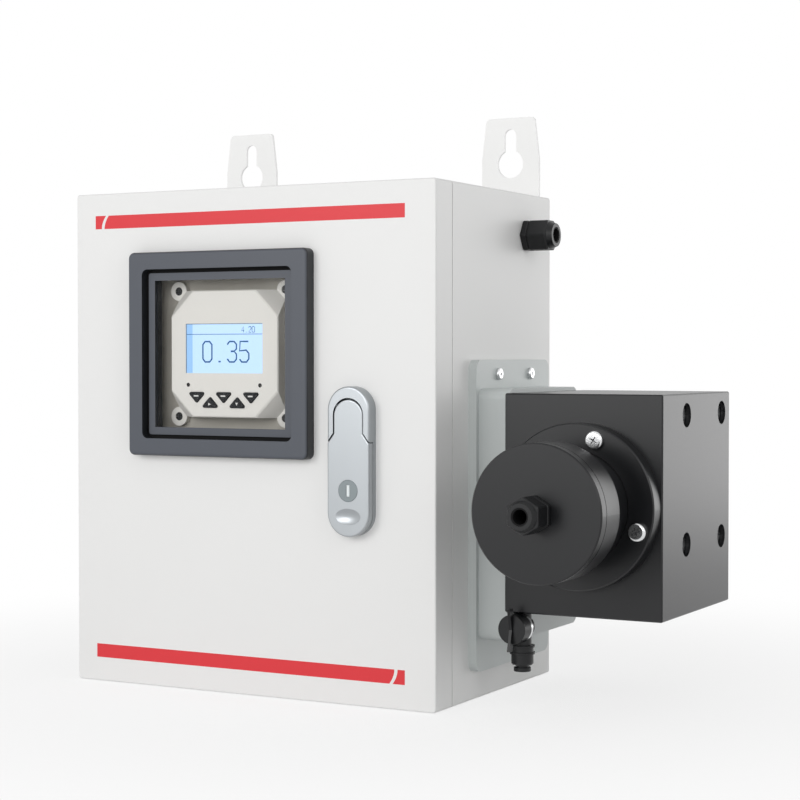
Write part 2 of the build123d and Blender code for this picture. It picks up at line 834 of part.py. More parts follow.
with BuildPart() as lock_handle:
    with BuildSketch(facing_front(-handle_back)):
        with Locations((lock_x, lock_z)):
            SlotOverall(lock_height, lock_width, rotation=90)
    extrude(amount=handle_thickness)
    with BuildSketch(facing_front(-handle_back)):
        add(handle_shape)
    extrude(amount=handle_thickness, mode=Mode.INTERSECT)
    fillet(lock_handle.faces().sort_by(Axis.Y)[0].edges(), handle_edge)
    with BuildSketch(facing_front(-lock_proud)):
        with Locations((lock_x, dimple_z)):
            Ellipse(dimple_width / 2, dimple_height / 2)
    with BuildSketch(facing_front(-lock_proud + dimple_depth)):
        with Locations((lock_x, dimple_z)):
            Ellipse(dimple_width / 2 - dimple_depth, dimple_height / 2 - dimple_depth)
    loft(mode=Mode.SUBTRACT)
    with BuildSketch(facing_front(-lock_proud)):
        with Locations((lock_x, plug_z)):
            Circle(plug_radius + running)
    extrude(amount=-handle_thickness, mode=Mode.SUBTRACT)
    with BuildSketch(facing_side(lock_x - pivot_length / 2)):
        with Locations((pivot_y, pivot_z)):
            Circle(pivot_radius + running)
    extrude(amount=pivot_length, mode=Mode.SUBTRACT)
save(lock_handle, "lock_handle")

with BuildPart() as lock_pivot_pin:
    with BuildSketch(facing_side(lock_x - pivot_length / 2)):
        with Locations((pivot_y, pivot_z)):
            Circle(pivot_radius)
    extrude(amount=pivot_length)
save(lock_pivot_pin, "lock_pivot_pin")

with BuildPart() as key_cylinder:
    with BuildSketch(facing_front(-handle_back)):
        with Locations((lock_x, plug_z)):
            Circle(plug_radius)
    extrude(amount=handle_thickness + slip)
    chamfer(key_cylinder.faces().sort_by(Axis.Y)[0].edges(), slip)
    with BuildSketch(facing_front(-lock_proud - slip)):
        with Locations((lock_x, plug_z)):
            Rectangle(key_slot_width, key_slot_length)
    extrude(amount=-handle_thickness / 2, mode=Mode.SUBTRACT)
save(key_cylinder, "key_cylinder")

cam_depth = lock_boss_length + slip
with BuildPart() as lock_spindle:
    with BuildSketch(facing_front(cam_depth + cam_thickness)):
        with Locations((lock_x, spindle_z)):
            Circle(spindle_radius)
    extrude(amount=cam_depth + cam_thickness + lock_floor - slip)
    with BuildSketch(facing_front(cam_depth + cam_thickness)):
        with Locations((lock_x, spindle_z)):
            RegularPolygon(cam_width / 2 - slip, 6, major_radius=False)
    extrude(amount=-cam_thickness)
save(lock_spindle, "lock_spindle")

with BuildPart() as lock_cam:
    with BuildSketch(facing_front(cam_depth + cam_thickness)):
        with Locations((lock_x, spindle_z - cam_length / 2 + cam_width / 4)):
            SlotOverall(cam_length + cam_width / 2, cam_width, rotation=90)
        with Locations((lock_x, spindle_z)):
            Circle(spindle_radius, mode=Mode.SUBTRACT)
    extrude(amount=cam_thickness)
save(lock_cam, "lock_cam")


# Cable glands: a threaded body with a hexagon, a domed nut and a rubber seal, all on one plane
def gland_body(wall, thread_length, turn):
    """Body of a gland whose hexagon seats on the wall plane; the thread runs back from it."""
    with BuildPart() as body:
        with BuildSketch(wall):
            RegularPolygon(gland_flats / 2, 6, major_radius=False, rotation=turn)
        extrude(amount=gland_flange)
        chamfer(body.faces().filter_by(GeomType.PLANE).edges().filter_by(GeomType.LINE), gland_chamfer)
        with BuildSketch(wall):
            Circle(gland_thread_radius)
        extrude(amount=-thread_length)
        with BuildSketch(wall.offset(gland_flange)):
            Circle(gland_neck_radius)
        extrude(amount=gland_nut - gland_dome)
        with BuildSketch(wall.offset(-thread_length)):
            Circle(gland_seal_radius)
        extrude(amount=thread_length + gland_flange + gland_nut, mode=Mode.SUBTRACT)
    return body


def gland_nut_part(wall, turn):
    """Domed clamping nut of a gland, seated on the body's hexagon."""
    seat = wall.offset(gland_flange)
    with BuildPart() as nut:
        with BuildSketch(seat):
            RegularPolygon(gland_flats / 2, 6, major_radius=False, rotation=turn)
        extrude(amount=gland_nut)
        chamfer(nut.faces().filter_by(GeomType.PLANE).edges().filter_by(GeomType.LINE), gland_chamfer)
        with BuildSketch(seat.offset(gland_nut)):
            Circle(gland_flats / 2 - gland_chamfer)
        with BuildSketch(seat.offset(gland_nut + gland_dome)):
            Circle(gland_tip_radius)
        loft()
        with BuildSketch(seat):
            Circle(gland_neck_radius)
        extrude(amount=gland_nut - gland_dome, mode=Mode.SUBTRACT)
        with BuildSketch(seat):
            Circle(gland_seal_radius)
        extrude(amount=gland_nut + gland_dome, mode=Mode.SUBTRACT)
    return nut


def gland_seal(wall):
    """Rubber sleeve that the nut squeezes round a cable."""
    with BuildPart() as seal:
        with BuildSketch(wall.offset(gland_flange + gland_nut + gland_dome - slip)):
            Circle(gland_seal_radius)
            Circle(gland_bore, mode=Mode.SUBTRACT)
        extrude(amount=-(gland_nut - gland_dome))
    return seal


side_wall = Plane(origin=(side_x, side_gland_y, side_gland_z), x_dir=(0, 1, 0), z_dir=(1, 0, 0))
save(gland_body(side_wall, sheet + locknut_thickness, 0), "side_gland_body")
save(gland_nut_part(side_wall, 0), "side_gland_nut")
save(gland_seal(side_wall), "side_gland_seal")

with BuildPart() as side_gland_locknut:
    with BuildSketch(side_wall.offset(-sheet)):
        RegularPolygon(gland_flats / 2, 6, major_radius=False)
        Circle(gland_thread_radius, mode=Mode.SUBTRACT)
    extrude(amount=-locknut_thickness)
save(side_gland_locknut, "side_gland_locknut")

# Bracket: a thick side plate with three screws and a spacer channel with a boss at each bolt
block_x = side_x + bracket_thickness + spacer_thickness + block_width / 2
block_right = block_x + block_width / 2
valve_x = block_x - block_width / 2 + valve_inset
block_front = front_y + block_start
block_y = block_front + block_depth / 2
block_z = bottom_z + block_bottom + block_height / 2
block_base = bottom_z + block_bottom
bolt_places = [
    (block_front + back, block_base + rise)
    for back in (bolt_front, bolt_back)
    for rise in (bolt_low, bolt_high)
]

with BuildPart() as bracket_plate:
    with BuildSketch(facing_side(side_x)):
        with Locations((bracket_y, bracket_z)):
            RectangleRounded(bracket_depth, bracket_height, bracket_corner)
        with Locations(*bracket_screw_places):
            Circle(bracket_screw_radius, mode=Mode.SUBTRACT)
        with Locations(*bolt_places):
            Circle(bolt_radius, mode=Mode.SUBTRACT)
    extrude(amount=bracket_thickness)
save(bracket_plate, "bracket_plate")

with BuildPart() as bracket_spacer:
    with BuildSketch(facing_side(side_x + bracket_thickness)):
        with Locations((spacer_y, spacer_z)):
            RectangleRounded(spacer_depth, spacer_height, bracket_corner)
    extrude(amount=spacer_thickness)
    with BuildSketch(facing_side(side_x + bracket_thickness)):
        with Locations((spacer_y, spacer_z)):
            Rectangle(spacer_depth - 2 * spacer_wall, spacer_height - 2 * spacer_wall)
    extrude(amount=spacer_thickness - spacer_wall, mode=Mode.SUBTRACT)
    with BuildSketch(facing_side(side_x + bracket_thickness)):
        with Locations(*bolt_places):
            Circle(bolt_head_radius)
    extrude(amount=spacer_thickness - spacer_wall)
    with BuildSketch(facing_side(side_x + bracket_thickness)):
        with Locations(*bolt_places):
            Circle(bolt_radius + slip)
    extrude(amount=spacer_thickness, mode=Mode.SUBTRACT)
save(bracket_spacer, "bracket_spacer")

with BuildPart() as bracket_screws:
    with BuildSketch(facing_side(side_x - 2 * sheet)):
        with Locations(*bracket_screw_places):
            Circle(bracket_screw_radius)
    extrude(amount=bracket_thickness + 2 * sheet)
    with BuildSketch(facing_side(side_x + bracket_thickness)):
        with Locations(*bracket_screw_places):
            Circle(bracket_screw_head)
    extrude(amount=bracket_head_height)
    fillet(bracket_screws.faces().group_by(Axis.X)[-1].edges(), bracket_head_height / 2)
save(bracket_screws, "bracket_screws")

# Measuring block: flow chamber from the front, feed from the valve below, outlet at the back
feed_y = front_y + valve_depth

with BuildPart() as measuring_block:
    with BuildSketch(facing_front(block_start + block_depth)):
        with Locations((block_x, block_z)):
            Rectangle(block_width, block_height)
    extrude(amount=block_depth)
    chamfer(measuring_block.edges(), block_edge)
    with BuildSketch(facing_front(block_start)):
        with Locations((block_x, block_z)):
            Circle(chamber_radius)
    extrude(amount=-chamber_depth, mode=Mode.SUBTRACT)
    with BuildSketch(facing_front(block_start)):
        with Locations((block_x, block_z)):
            Circle(tube_radius)
    extrude(amount=-tube_depth, mode=Mode.SUBTRACT)
    with BuildSketch(facing_front(block_start)):
        with Locations((block_x, block_z)):
            Circle(outlet_radius)
    extrude(amount=-block_depth, mode=Mode.SUBTRACT)
    with BuildSketch(facing_front(block_start)):
        with Locations((block_x, block_z)):
            with PolarLocations(flange_screw_circle, 4, flange_screw_turn):
                Circle(flange_screw_radius)
    extrude(amount=-(flange_screw_length - flange_thickness), mode=Mode.SUBTRACT)
    with BuildSketch(Plane.XY.offset(block_base)):
        with Locations((valve_x, feed_y)):
            Circle(feed_radius)
    extrude(amount=feed_rise, mode=Mode.SUBTRACT)
    with BuildSketch(Plane.XY.offset(block_base)):
        with Locations((valve_x, feed_y)):
            Circle(riser_thread_radius)
    extrude(amount=riser_thread_length, mode=Mode.SUBTRACT)
    with BuildSketch(facing_side(valve_x)):
        with Locations((feed_y, block_base + feed_rise - feed_radius)):
            Circle(feed_radius)
    extrude(amount=block_x - valve_x, mode=Mode.SUBTRACT)
    with BuildSketch(facing_side(block_right)):
        with Locations(*bolt_places):
            Circle(bolt_radius + slip)
    extrude(amount=-block_width, mode=Mode.SUBTRACT)
    with BuildSketch(facing_side(block_right)):
        with Locations(*bolt_places):
            Circle(counterbore_radius)
    extrude(amount=-counterbore_depth, mode=Mode.SUBTRACT)
save(measuring_block, "measuring_block")

bolt_seat = block_right - counterbore_depth
with BuildPart() as block_bolts:
    with BuildSketch(facing_side(side_x)):
        with Locations(*bolt_places):
            Circle(bolt_radius)
    extrude(amount=bolt_seat - side_x)
    with BuildSketch(facing_side(bolt_seat)):
        with Locations(*bolt_places):
            Circle(bolt_head_radius)
    extrude(amount=bolt_head_length)
    with BuildSketch(facing_side(bolt_seat + bolt_head_length)):
        with Locations(*bolt_places):
            RegularPolygon(bolt_radius * 0.8, 6, major_radius=False)
    extrude(amount=-bolt_head_length / 2, mode=Mode.SUBTRACT)
save(block_bolts, "block_bolts")

# Flange ring, its screws and seal
flange_front = block_start - flange_thickness

with BuildPart() as flange_ring:
    with BuildSketch(facing_front(block_start)):
        with Locations((block_x, block_z)):
            Circle(flange_radius)
    extrude(amount=flange_thickness)
    chamfer(flange_ring.faces().sort_by(Axis.Y)[0].edges(), block_edge)
    with BuildSketch(facing_front(block_start)):
        with Locations((block_x, block_z)):
            Circle(neck_radius + slip)
    extrude(amount=flange_thickness, mode=Mode.SUBTRACT)
    with BuildSketch(facing_front(block_start)):
        with Locations((block_x, block_z)):
            with PolarLocations(flange_screw_circle, 4, flange_screw_turn):
                Circle(flange_screw_radius + slip)
    extrude(amount=flange_thickness, mode=Mode.SUBTRACT)
    with BuildSketch(facing_front(block_start)):
        with Locations((block_x, block_z)):
            Circle(neck_radius + slip + flange_seal_width)
    extrude(amount=flange_seal_width, mode=Mode.SUBTRACT)
save(flange_ring, "flange_ring")

with BuildPart() as flange_seal:
    with BuildSketch(facing_front(block_start)):
        with Locations((block_x, block_z)):
            Circle(neck_radius + slip + flange_seal_width)
            Circle(neck_radius, mode=Mode.SUBTRACT)
    extrude(amount=flange_seal_width)
save(flange_seal, "flange_seal")

with BuildPart() as flange_screws:
    with BuildSketch(facing_front(flange_front + flange_screw_length)):
        with Locations((block_x, block_z)):
            with PolarLocations(flange_screw_circle, 4, flange_screw_turn):
                Circle(flange_screw_radius)
    extrude(amount=flange_screw_length)
    with BuildSketch(facing_front(flange_front)):
        with Locations((block_x, block_z)):
            with PolarLocations(flange_screw_circle, 4, flange_screw_turn):
                Circle(flange_screw_head)
    extrude(amount=flange_head_height)
    fillet(flange_screws.faces().group_by(Axis.Y)[0].edges(), flange_head_height / 2)
save(flange_screws, "flange_screws")

# Sensor cap: a wide drum with a front ring, on a neck that seats on the block
cap_front = flange_front - neck_length - cap_length
probe_seat = block_start - cap_floor

with BuildPart() as sensor_cap:
    with BuildSketch(facing_front(cap_front + cap_length)):
        with Locations((block_x, block_z)):
            Circle(cap_radius)
    extrude(amount=cap_length)
    chamfer(sensor_cap.faces().sort_by(Axis.Y)[0].edges(), block_edge)
    with BuildSketch(facing_front(cap_front + cap_front_ring + cap_groove)):
        with Locations((block_x, block_z)):
            Circle(cap_radius)
            Circle(cap_radius - cap_groove, mode=Mode.SUBTRACT)
    extrude(amount=cap_groove, mode=Mode.SUBTRACT)
    with BuildSketch(facing_front(block_start)):
        with Locations((block_x, block_z)):
            Circle(neck_radius)
    extrude(amount=block_start - cap_front - cap_length)
    with BuildSketch(facing_front(probe_seat)):
        with Locations((block_x, block_z)):
            Circle(cavity_radius)
    extrude(amount=probe_seat - cap_front - cap_wall, mode=Mode.SUBTRACT)
    with BuildSketch(facing_front(block_start)):
        with Locations((block_x, block_z)):
            Circle(probe_radius)
    extrude(amount=cap_floor, mode=Mode.SUBTRACT)
    with BuildSketch(facing_front(cap_front + cap_wall)):
        with Locations((block_x, block_z)):
            Circle(gland_thread_radius)
    extrude(amount=cap_wall, mode=Mode.SUBTRACT)
save(sensor_cap, "sensor_cap")

with BuildPart() as sensor_probe:
    with BuildSketch(facing_front(probe_seat)):
        with Locations((block_x, block_z)):
            Circle(probe_head_radius)
    extrude(amount=probe_head_height)
    with BuildSketch(facing_front(probe_seat + probe_length)):
        with Locations((block_x, block_z)):
            Circle(probe_radius)
    extrude(amount=probe_length)
    chamfer(sensor_probe.faces().sort_by(Axis.Y)[-1].edges(), probe_radius / 4)
    with BuildSketch(facing_front(probe_seat + probe_length)):
        with Locations((block_x, block_z)):
            with GridLocations(probe_radius, 0, 2, 1):
                Circle(probe_window_radius)
    extrude(amount=probe_window_radius, mode=Mode.SUBTRACT)
save(sensor_probe, "sensor_probe")

with BuildPart() as probe_windows:
    with BuildSketch(facing_front(probe_seat + probe_length)):
        with Locations((block_x, block_z)):
            with GridLocations(probe_radius, 0, 2, 1):
                Circle(probe_window_radius)
    extrude(amount=probe_window_radius)
save(probe_windows, "probe_windows")

cap_wall_plane = Plane(
    origin=(block_x, front_y + cap_front, block_z), x_dir=(1, 0, 0), z_dir=(0, -1, 0)
)
save(gland_body(cap_wall_plane, cap_wall, cap_gland_turn), "cap_gland_body")
save(gland_nut_part(cap_wall_plane, cap_gland_turn), "cap_gland_nut")
save(gland_seal(cap_wall_plane), "cap_gland_seal")

# Sample valve: a body with a riser, a barrel and a push-fit socket, a ring, a knob and a sleeve
knob_z = block_base - knob_drop
knob_back = knob_front + knob_length
ring_front = knob_back + slip
barrel_front = ring_front + ring_length
socket_z = bottom_z + socket_bottom
stem_end = valve_depth + stem_radius

with BuildPart() as valve_body:
    with BuildSketch(Plane.XY.offset(socket_z)):
        with Locations((valve_x, feed_y)):
            Circle(socket_radius)
    extrude(amount=socket_height)
    chamfer(valve_body.faces().sort_by(Axis.Z)[0].edges(), socket_collar - socket_radius)
    for rise in (socket_height * 0.55, socket_height - socket_rib):
        with BuildSketch(Plane.XY.offset(socket_z + rise)):
            with Locations((valve_x, feed_y)):
                Circle(socket_collar)
        extrude(amount=socket_rib)
    with BuildSketch(Plane.XY.offset(socket_z + socket_height)):
        with Locations((valve_x, feed_y)):
            Circle(riser_radius)
    extrude(amount=block_base - socket_z - socket_height)
    with BuildSketch(Plane.XY.offset(block_base)):
        with Locations((valve_x, feed_y)):
            Circle(riser_thread_radius)
    extrude(amount=riser_thread_length)
    with BuildSketch(facing_front(stem_end + barrel_wall)):
        with Locations((valve_x, knob_z)):
            Circle(barrel_radius)
    extrude(amount=stem_end + barrel_wall - barrel_front)
    with BuildSketch(facing_front(barrel_front)):
        with Locations((valve_x, knob_z)):
            Circle(knob_radius + slip)
    extrude(amount=riser_radius, mode=Mode.SUBTRACT)
    with BuildSketch(Plane.XY.offset(socket_z)):
        with Locations((valve_x, feed_y)):
            Circle(feed_radius - slip)
    extrude(amount=block_base - socket_z + riser_thread_length, mode=Mode.SUBTRACT)
    with BuildSketch(Plane.XY.offset(socket_z)):
        with Locations((valve_x, feed_y)):
            Circle(sleeve_radius + running)
    extrude(amount=sleeve_length, mode=Mode.SUBTRACT)
    with BuildSketch(facing_front(stem_end + slip)):
        with Locations((valve_x, knob_z)):
            Circle(stem_radius + running)
    extrude(amount=stem_end + slip - barrel_front, mode=Mode.SUBTRACT)
save(valve_body, "valve_body")

with BuildPart() as valve_ring:
    with BuildSketch(facing_front(barrel_front)):
        with Locations((valve_x, knob_z)):
            Circle(knob_radius)
            Circle(stem_radius + running, mode=Mode.SUBTRACT)
    extrude(amount=ring_length)
save(valve_ring, "valve_ring")

with BuildPart() as valve_knob:
    with BuildSketch(facing_front(knob_back)):
        with Locations((valve_x, knob_z)):
            Circle(knob_radius)
    extrude(amount=knob_length)
    chamfer(valve_knob.faces().sort_by(Axis.Y)[0].edges(), slip)
    with BuildSketch(facing_side(valve_x - wing_thickness / 2)):
        with BuildLine():
            Polyline(
                (front_y + knob_front, knob_z + wing_height / 2),
                (front_y + knob_front, knob_z - wing_height / 2),
                (front_y + knob_front - wing_proud, knob_z - wing_height / 2),
                (front_y + knob_front - wing_proud / 4, knob_z),
                (front_y + knob_front - wing_proud, knob_z + wing_height / 2),
                close=True,
            )
        make_face()
    extrude(amount=wing_thickness)
    with BuildSketch(facing_front(stem_end)):
        with Locations((valve_x, knob_z)):
            Circle(stem_radius)
    extrude(amount=stem_end - knob_back)
    with BuildSketch(Plane.XY.offset(knob_z - stem_radius)):
        with Locations((valve_x, feed_y)):
            Circle(stem_radius / 2)
    extrude(amount=2 * stem_radius, mode=Mode.SUBTRACT)
save(valve_knob, "valve_knob")

with BuildPart() as release_sleeve:
    with BuildSketch(Plane.XY.offset(socket_z - sleeve_stand)):
        with Locations((valve_x, feed_y)):
            Circle(sleeve_flange)
    extrude(amount=sleeve_stand - sleeve_travel - slip)
    chamfer(release_sleeve.edges(), slip)
    with BuildSketch(Plane.XY.offset(socket_z - sleeve_stand)):
        with Locations((valve_x, feed_y)):
            Circle(sleeve_radius)
    extrude(amount=sleeve_length + sleeve_stand - sleeve_travel - slip)
    with BuildSketch(Plane.XY.offset(socket_z - sleeve_stand)):
        with Locations((valve_x, feed_y)):
            Circle(hose_bore)
    extrude(amount=sleeve_length + sleeve_stand, mode=Mode.SUBTRACT)
save(release_sleeve, "release_sleeve")
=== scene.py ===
"""Wall-hung turbidity meter: finishes, printed trim, studio and camera over the fixed CAD frame."""

import logging
import math
from dataclasses import dataclass, field, fields
from enum import Enum

import bpy
from bpy.types import Material, Node, NodeSocket, NodeTree, Object, World
from mathutils import Matrix, Vector


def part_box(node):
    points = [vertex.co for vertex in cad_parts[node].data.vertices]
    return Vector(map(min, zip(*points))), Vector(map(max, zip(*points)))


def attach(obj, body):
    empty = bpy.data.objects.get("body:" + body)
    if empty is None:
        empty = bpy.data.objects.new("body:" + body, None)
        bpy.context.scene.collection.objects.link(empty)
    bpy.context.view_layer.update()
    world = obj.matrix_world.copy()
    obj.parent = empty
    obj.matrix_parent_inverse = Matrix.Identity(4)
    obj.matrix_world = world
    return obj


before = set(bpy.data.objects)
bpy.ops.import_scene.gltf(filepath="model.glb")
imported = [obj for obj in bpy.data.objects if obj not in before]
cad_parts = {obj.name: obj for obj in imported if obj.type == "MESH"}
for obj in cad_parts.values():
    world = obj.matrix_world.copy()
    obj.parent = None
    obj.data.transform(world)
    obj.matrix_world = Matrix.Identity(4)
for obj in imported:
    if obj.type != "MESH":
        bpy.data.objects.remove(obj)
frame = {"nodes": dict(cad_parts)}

log = logging.getLogger("turbidity_meter")

Place = tuple[float, float, float]

MM = 0.001
# Face of the door and middle of its window, in metres.
FRONT_Y = -0.212
WINDOW_X = -0.023
WINDOW_Z = -0.161
# Lit glass: half its width, and its top above the window's middle, in millimetres.
GLASS_HALF_WIDTH = 36.25
GLASS_TOP = 24.1
# Flange screws: axis of their circle (X, Z) and its radius in millimetres, first angle in degrees.
FLANGE_AXIS = (262.6, -274.4)
FLANGE_CIRCLE = 52.5
FLANGE_FIRST = -18.0
# Places of the bracket screws (Y, Z) in millimetres.
BRACKET_SCREWS = ((-118.6, -176.75), (-58.8, -176.75), (-88.7, -394.65))
# Turn that makes a plane face the front.
UPRIGHT = (math.radians(90), 0, 0)
# Gap between trim and the face under it, in millimetres.
CLEARANCE = 0.02
# Points closer than this, in metres, count as one.
SAME = 1e-6
# Grains across one patch of colour, spread of the roughness, weight of the relief.
PATCH_GRAINS = 40
GLOSS_SPREAD = 0.15
LINE_SPREAD = 0.2
RELIEF_WEIGHT = 0.5
# Colour sockets of Blender's mix node.
MIX_LOW, MIX_HIGH, MIX_RESULT = 6, 7, 2


class Body(Enum):
    """Rigid bodies of the meter that new pieces ride on."""

    CABINET = "cabinet"
    DOOR = "door"
    HANDLE = "handle"
    CYLINDER = "cylinder"
    KEY_EXIT = "exit_key"
    KEY_UP = "up_key"
    KEY_MENU = "menu_key"
    KEY_DOWN = "down_key"
    KEY_ENTER = "enter_key"


class Slot(Enum):
    """Names of material slots; no new piece in this script takes its finish from them."""

    POWDER_COAT = "white_powder_coat"
    DISPLAY = "display_glass"
    KEYS = "black_plastic"
    STEEL = "bright_steel"
    CHROME = "satin_chrome"


class KeyMark(Enum):
    """Plain marks printed on the keys."""

    ARROW_RIGHT = "arrow_right"
    ARROW_DOWN = "arrow_down"
    BAR = "bar"


def linear(code: str) -> tuple[float, float, float, float]:
    """Turn an sRGB hex colour into linear RGBA.

    Args:
        code: colour as "#rrggbb".

    Returns:
        Linear red, green, blue and an alpha of one.
    """
    channels = [int(code[i:i + 2], 16) / 255.0 for i in (1, 3, 5)]
    red, green, blue = [
        c / 12.92 if c <= 0.04045 else ((c + 0.055) / 1.055) ** 2.4 for c in channels
    ]
    return (red, green, blue, 1.0)


def add_node(
    tree: NodeTree,
    kind: str,
    settings: dict[str, object] | None = None,
    values: dict[str, object] | None = None,
    links: dict[str, NodeSocket] | None = None,
) -> Node:
    """Add one shader node with its settings, socket values and incoming links.

    Args:
        tree: node tree that gets the node.
        kind: node type name after its "ShaderNode" prefix.
        settings: node attributes to set.
        values: input socket name to constant value.
        links: input socket name to the output socket that feeds it.

    Returns:
        The new node.
    """
    node = tree.nodes.new("ShaderNode" + kind)
    for name, value in (settings or {}).items():
        setattr(node, name, value)
    for name, value in (values or {}).items():
        node.inputs[name].default_value = value
    for name, source in (links or {}).items():
        tree.links.new(source, node.inputs[name])
    return node


def empty_tree(owner: Material | World) -> NodeTree:
    """Turn on the nodes of a material or world and clear them."""
    owner.use_nodes = True
    owner.node_tree.nodes.clear()
    return owner.node_tree


def find_node(tree: NodeTree, kind: str) -> Node:
    """Find the first node of a type, such as "BSDF_PRINCIPLED"."""
    return next(node for node in tree.nodes if node.type == kind)


def soft_step(
    tree: NodeTree, value: NodeSocket, start: float, stop: float
) -> NodeSocket:
    """Turn a place into a soft step.

    Args:
        tree: tree that gets the node.
        value: the place.
        start: where the step starts, in metres.
        stop: where it ends.

    Returns:
        Output that runs from 0 at the start to 1 at the end.
    """
    step = add_node(
        tree,
        "MapRange",
        settings={"interpolation_type": "SMOOTHSTEP"},
        values={"From Min": start, "From Max": stop},
        links={"Value": value},
    )
    return step.outputs["Result"]


def mix_colours(
    tree: NodeTree,
    share: NodeSocket,
    low: str | NodeSocket,
    high: str | NodeSocket,
) -> NodeSocket:
    """Mix two colours.

    Args:
        tree: tree that gets the node.
        share: share of the second colour.
        low: first colour, as hex or as a socket.
        high: second colour, as hex or as a socket.

    Returns:
        The mixed colour.
    """
    mix = add_node(tree, "Mix", {"data_type": "RGBA"}, links={"Factor": share})
    for index, colour in ((MIX_LOW, low), (MIX_HIGH, high)):
        if isinstance(colour, str):
            mix.inputs[index].default_value = linear(colour)
        else:
            tree.links.new(colour, mix.inputs[index])
    return mix.outputs[MIX_RESULT]


@dataclass(frozen=True)
class Finish:
    """A surface finish: what the material is and how the surface was made.

    Attributes:
        name: material name in a maker's words.
        colour: base colour in sRGB hex.
        roughness: mean microsurface roughness.
        grain: size of the surface relief in millimetres.
        relief: height of the surface relief in millimetres.
        mottle: share by which the colour varies over the surface.
        metallic: 1 for bare metal, 0 for paint and plastic.
        specular: level of the mirror-like share, 0.5 for common plastics.
    """

    name: str
    colour: str
    roughness: float
    grain: float
    relief: float
    mottle: float = 0.03
    metallic: float = 0.0
    specular: float = 0.5

    def start(self) -> tuple[Material, NodeTree, Node]:
        """Make an empty material with its output and surface shader.

        Returns:
            The material, its node tree and the Principled shader.
        """
        material = bpy.data.materials.new(self.name)
        tree = empty_tree(material)
        shader = add_node(
            tree,
            "BsdfPrincipled",
            values={"Metallic": self.metallic, "Specular IOR Level": self.specular},
        )
        add_node(tree, "OutputMaterial", links={"Surface": shader.outputs["BSDF"]})
        return material, tree, shader

    def material(self) -> Material:
        """Build the finish: mottled colour, varied roughness and a fine relief.

        Returns:
            The finished material.
        """
        material, tree, shader = self.start()
        place = add_node(tree, "TexCoord")
        spots = add_node(
            tree,
            "TexNoise",
            values={"Scale": 1.0 / (self.grain * PATCH_GRAINS * MM), "Detail": 4.0},
            links={"Vector": place.outputs["Object"]},
        )
        shade = add_node(
            tree,
            "MapRange",
            values={"To Min": 1.0 - self.mottle, "To Max": 1.0 + self.mottle},
            links={"Value": spots.outputs["Fac"]},
        )
        base = linear(self.colour)
        tint = add_node(
            tree,
            "VectorMath",
            {"operation": "SCALE"},
            values={0: base[:3]},
            links={"Scale": shade.outputs["Result"]},
        )
        if self.mottle:
            tree.links.new(tint.outputs["Vector"], shader.inputs["Base Color"])
        else:
            shader.inputs["Base Color"].default_value = base
        grain = add_node(
            tree,
            "TexNoise",
            values={"Scale": 1.0 / (self.grain * MM), "Detail": 3.0, "Roughness": 0.6},
            links={"Vector": place.outputs["Object"]},
        )
        gloss = add_node(
            tree,
            "MapRange",
            values={
                "To Min": self.roughness * (1 - GLOSS_SPREAD),
                "To Max": self.roughness * (1 + GLOSS_SPREAD),
            },
            links={"Value": grain.outputs["Fac"]},
        )
        tree.links.new(gloss.outputs["Result"], shader.inputs["Roughness"])
        bump = add_node(
            tree,
            "Bump",
            values={"Strength": RELIEF_WEIGHT, "Distance": self.relief * MM},
            links={"Height": grain.outputs["Fac"]},
        )
        tree.links.new(bump.outputs["Normal"], shader.inputs["Normal"])
        return material


@dataclass(frozen=True)
class SatinCast(Finish):
    """Satin metal: soft, with fine drawn lines along its height and broad vertical bands of painted
    reflection in its colour.

    Attributes:
        stretch: how often the grain and the painted reflection bands repeat along Z against across.
    """

    stretch: float = 0.05

    def material(self) -> Material:
        """Add long fine lines over the plain finish, stretched along Z, and stretch its colour
        mottle into broad bands of painted reflection.

        Returns:
            The finished material.
        """
        material = super().material()
        tree = material.node_tree
        shader = find_node(tree, "BSDF_PRINCIPLED")
        place = add_node(tree, "TexCoord")
        stretch = add_node(
            tree,
            "Mapping",
            values={"Scale": (1.0, 1.0, self.stretch)},
            links={"Vector": place.outputs["Object"]},
        )
        lines = add_node(
            tree,
            "TexNoise",
            values={"Scale": 1.0 / (self.grain * MM), "Detail": 2.0},
            links={"Vector": stretch.outputs["Vector"]},
        )
        # The colour mottle follows the stretch too: broad vertical bands of painted reflection.
        for node in tree.nodes:
            if node.type == "TEX_NOISE" and node != lines:
                tree.links.new(stretch.outputs["Vector"], node.inputs["Vector"])
        gloss = add_node(
            tree,
            "MapRange",
            values={
                "To Min": self.roughness * (1 - LINE_SPREAD),
                "To Max": self.roughness * (1 + LINE_SPREAD),
            },
            links={"Value": lines.outputs["Fac"]},
        )
        tree.links.new(gloss.outputs["Result"], shader.inputs["Roughness"])
        return material


@dataclass(frozen=True)
class PaintedFlankShadeMoulding(Finish):
    """Moulded frame whose flanks and grooves carry a painted shade, darker than its grained face.

    Attributes:
        flank: painted shade colour of the walls that stand square to the face.
        turned: how much a wall may still face the front and take the full painted shade.
        level: how much it has to face the front to be all face.
    """

    flank: str = "#1f2124"
    turned: float = 0.35
    level: float = 0.9

    def material(self) -> Material:
        """Blend the painted flank shade in by how far a wall turns away from the front.

        Returns:
            The finished material.
        """
        material = super().material()
        tree = material.node_tree
        tint = find_node(tree, "VECT_MATH")
        surface = add_node(tree, "NewGeometry")
        axes = add_node(tree, "SeparateXYZ", links={"Vector": surface.outputs["Normal"]})
        front = add_node(tree, "Math", {"operation": "ABSOLUTE"}, links={0: axes.outputs["Y"]})
        share = add_node(
            tree,
            "MapRange",
            values={"From Min": self.turned, "From Max": self.level},
            links={"Value": front.outputs["Value"]},
        )
        # Painted shade: walls turned away from the front take the darker flank colour.
        colour = mix_colours(tree, share.outputs["Result"], self.flank, self.colour)
        tree.links.new(colour, tint.inputs[0])
        return material


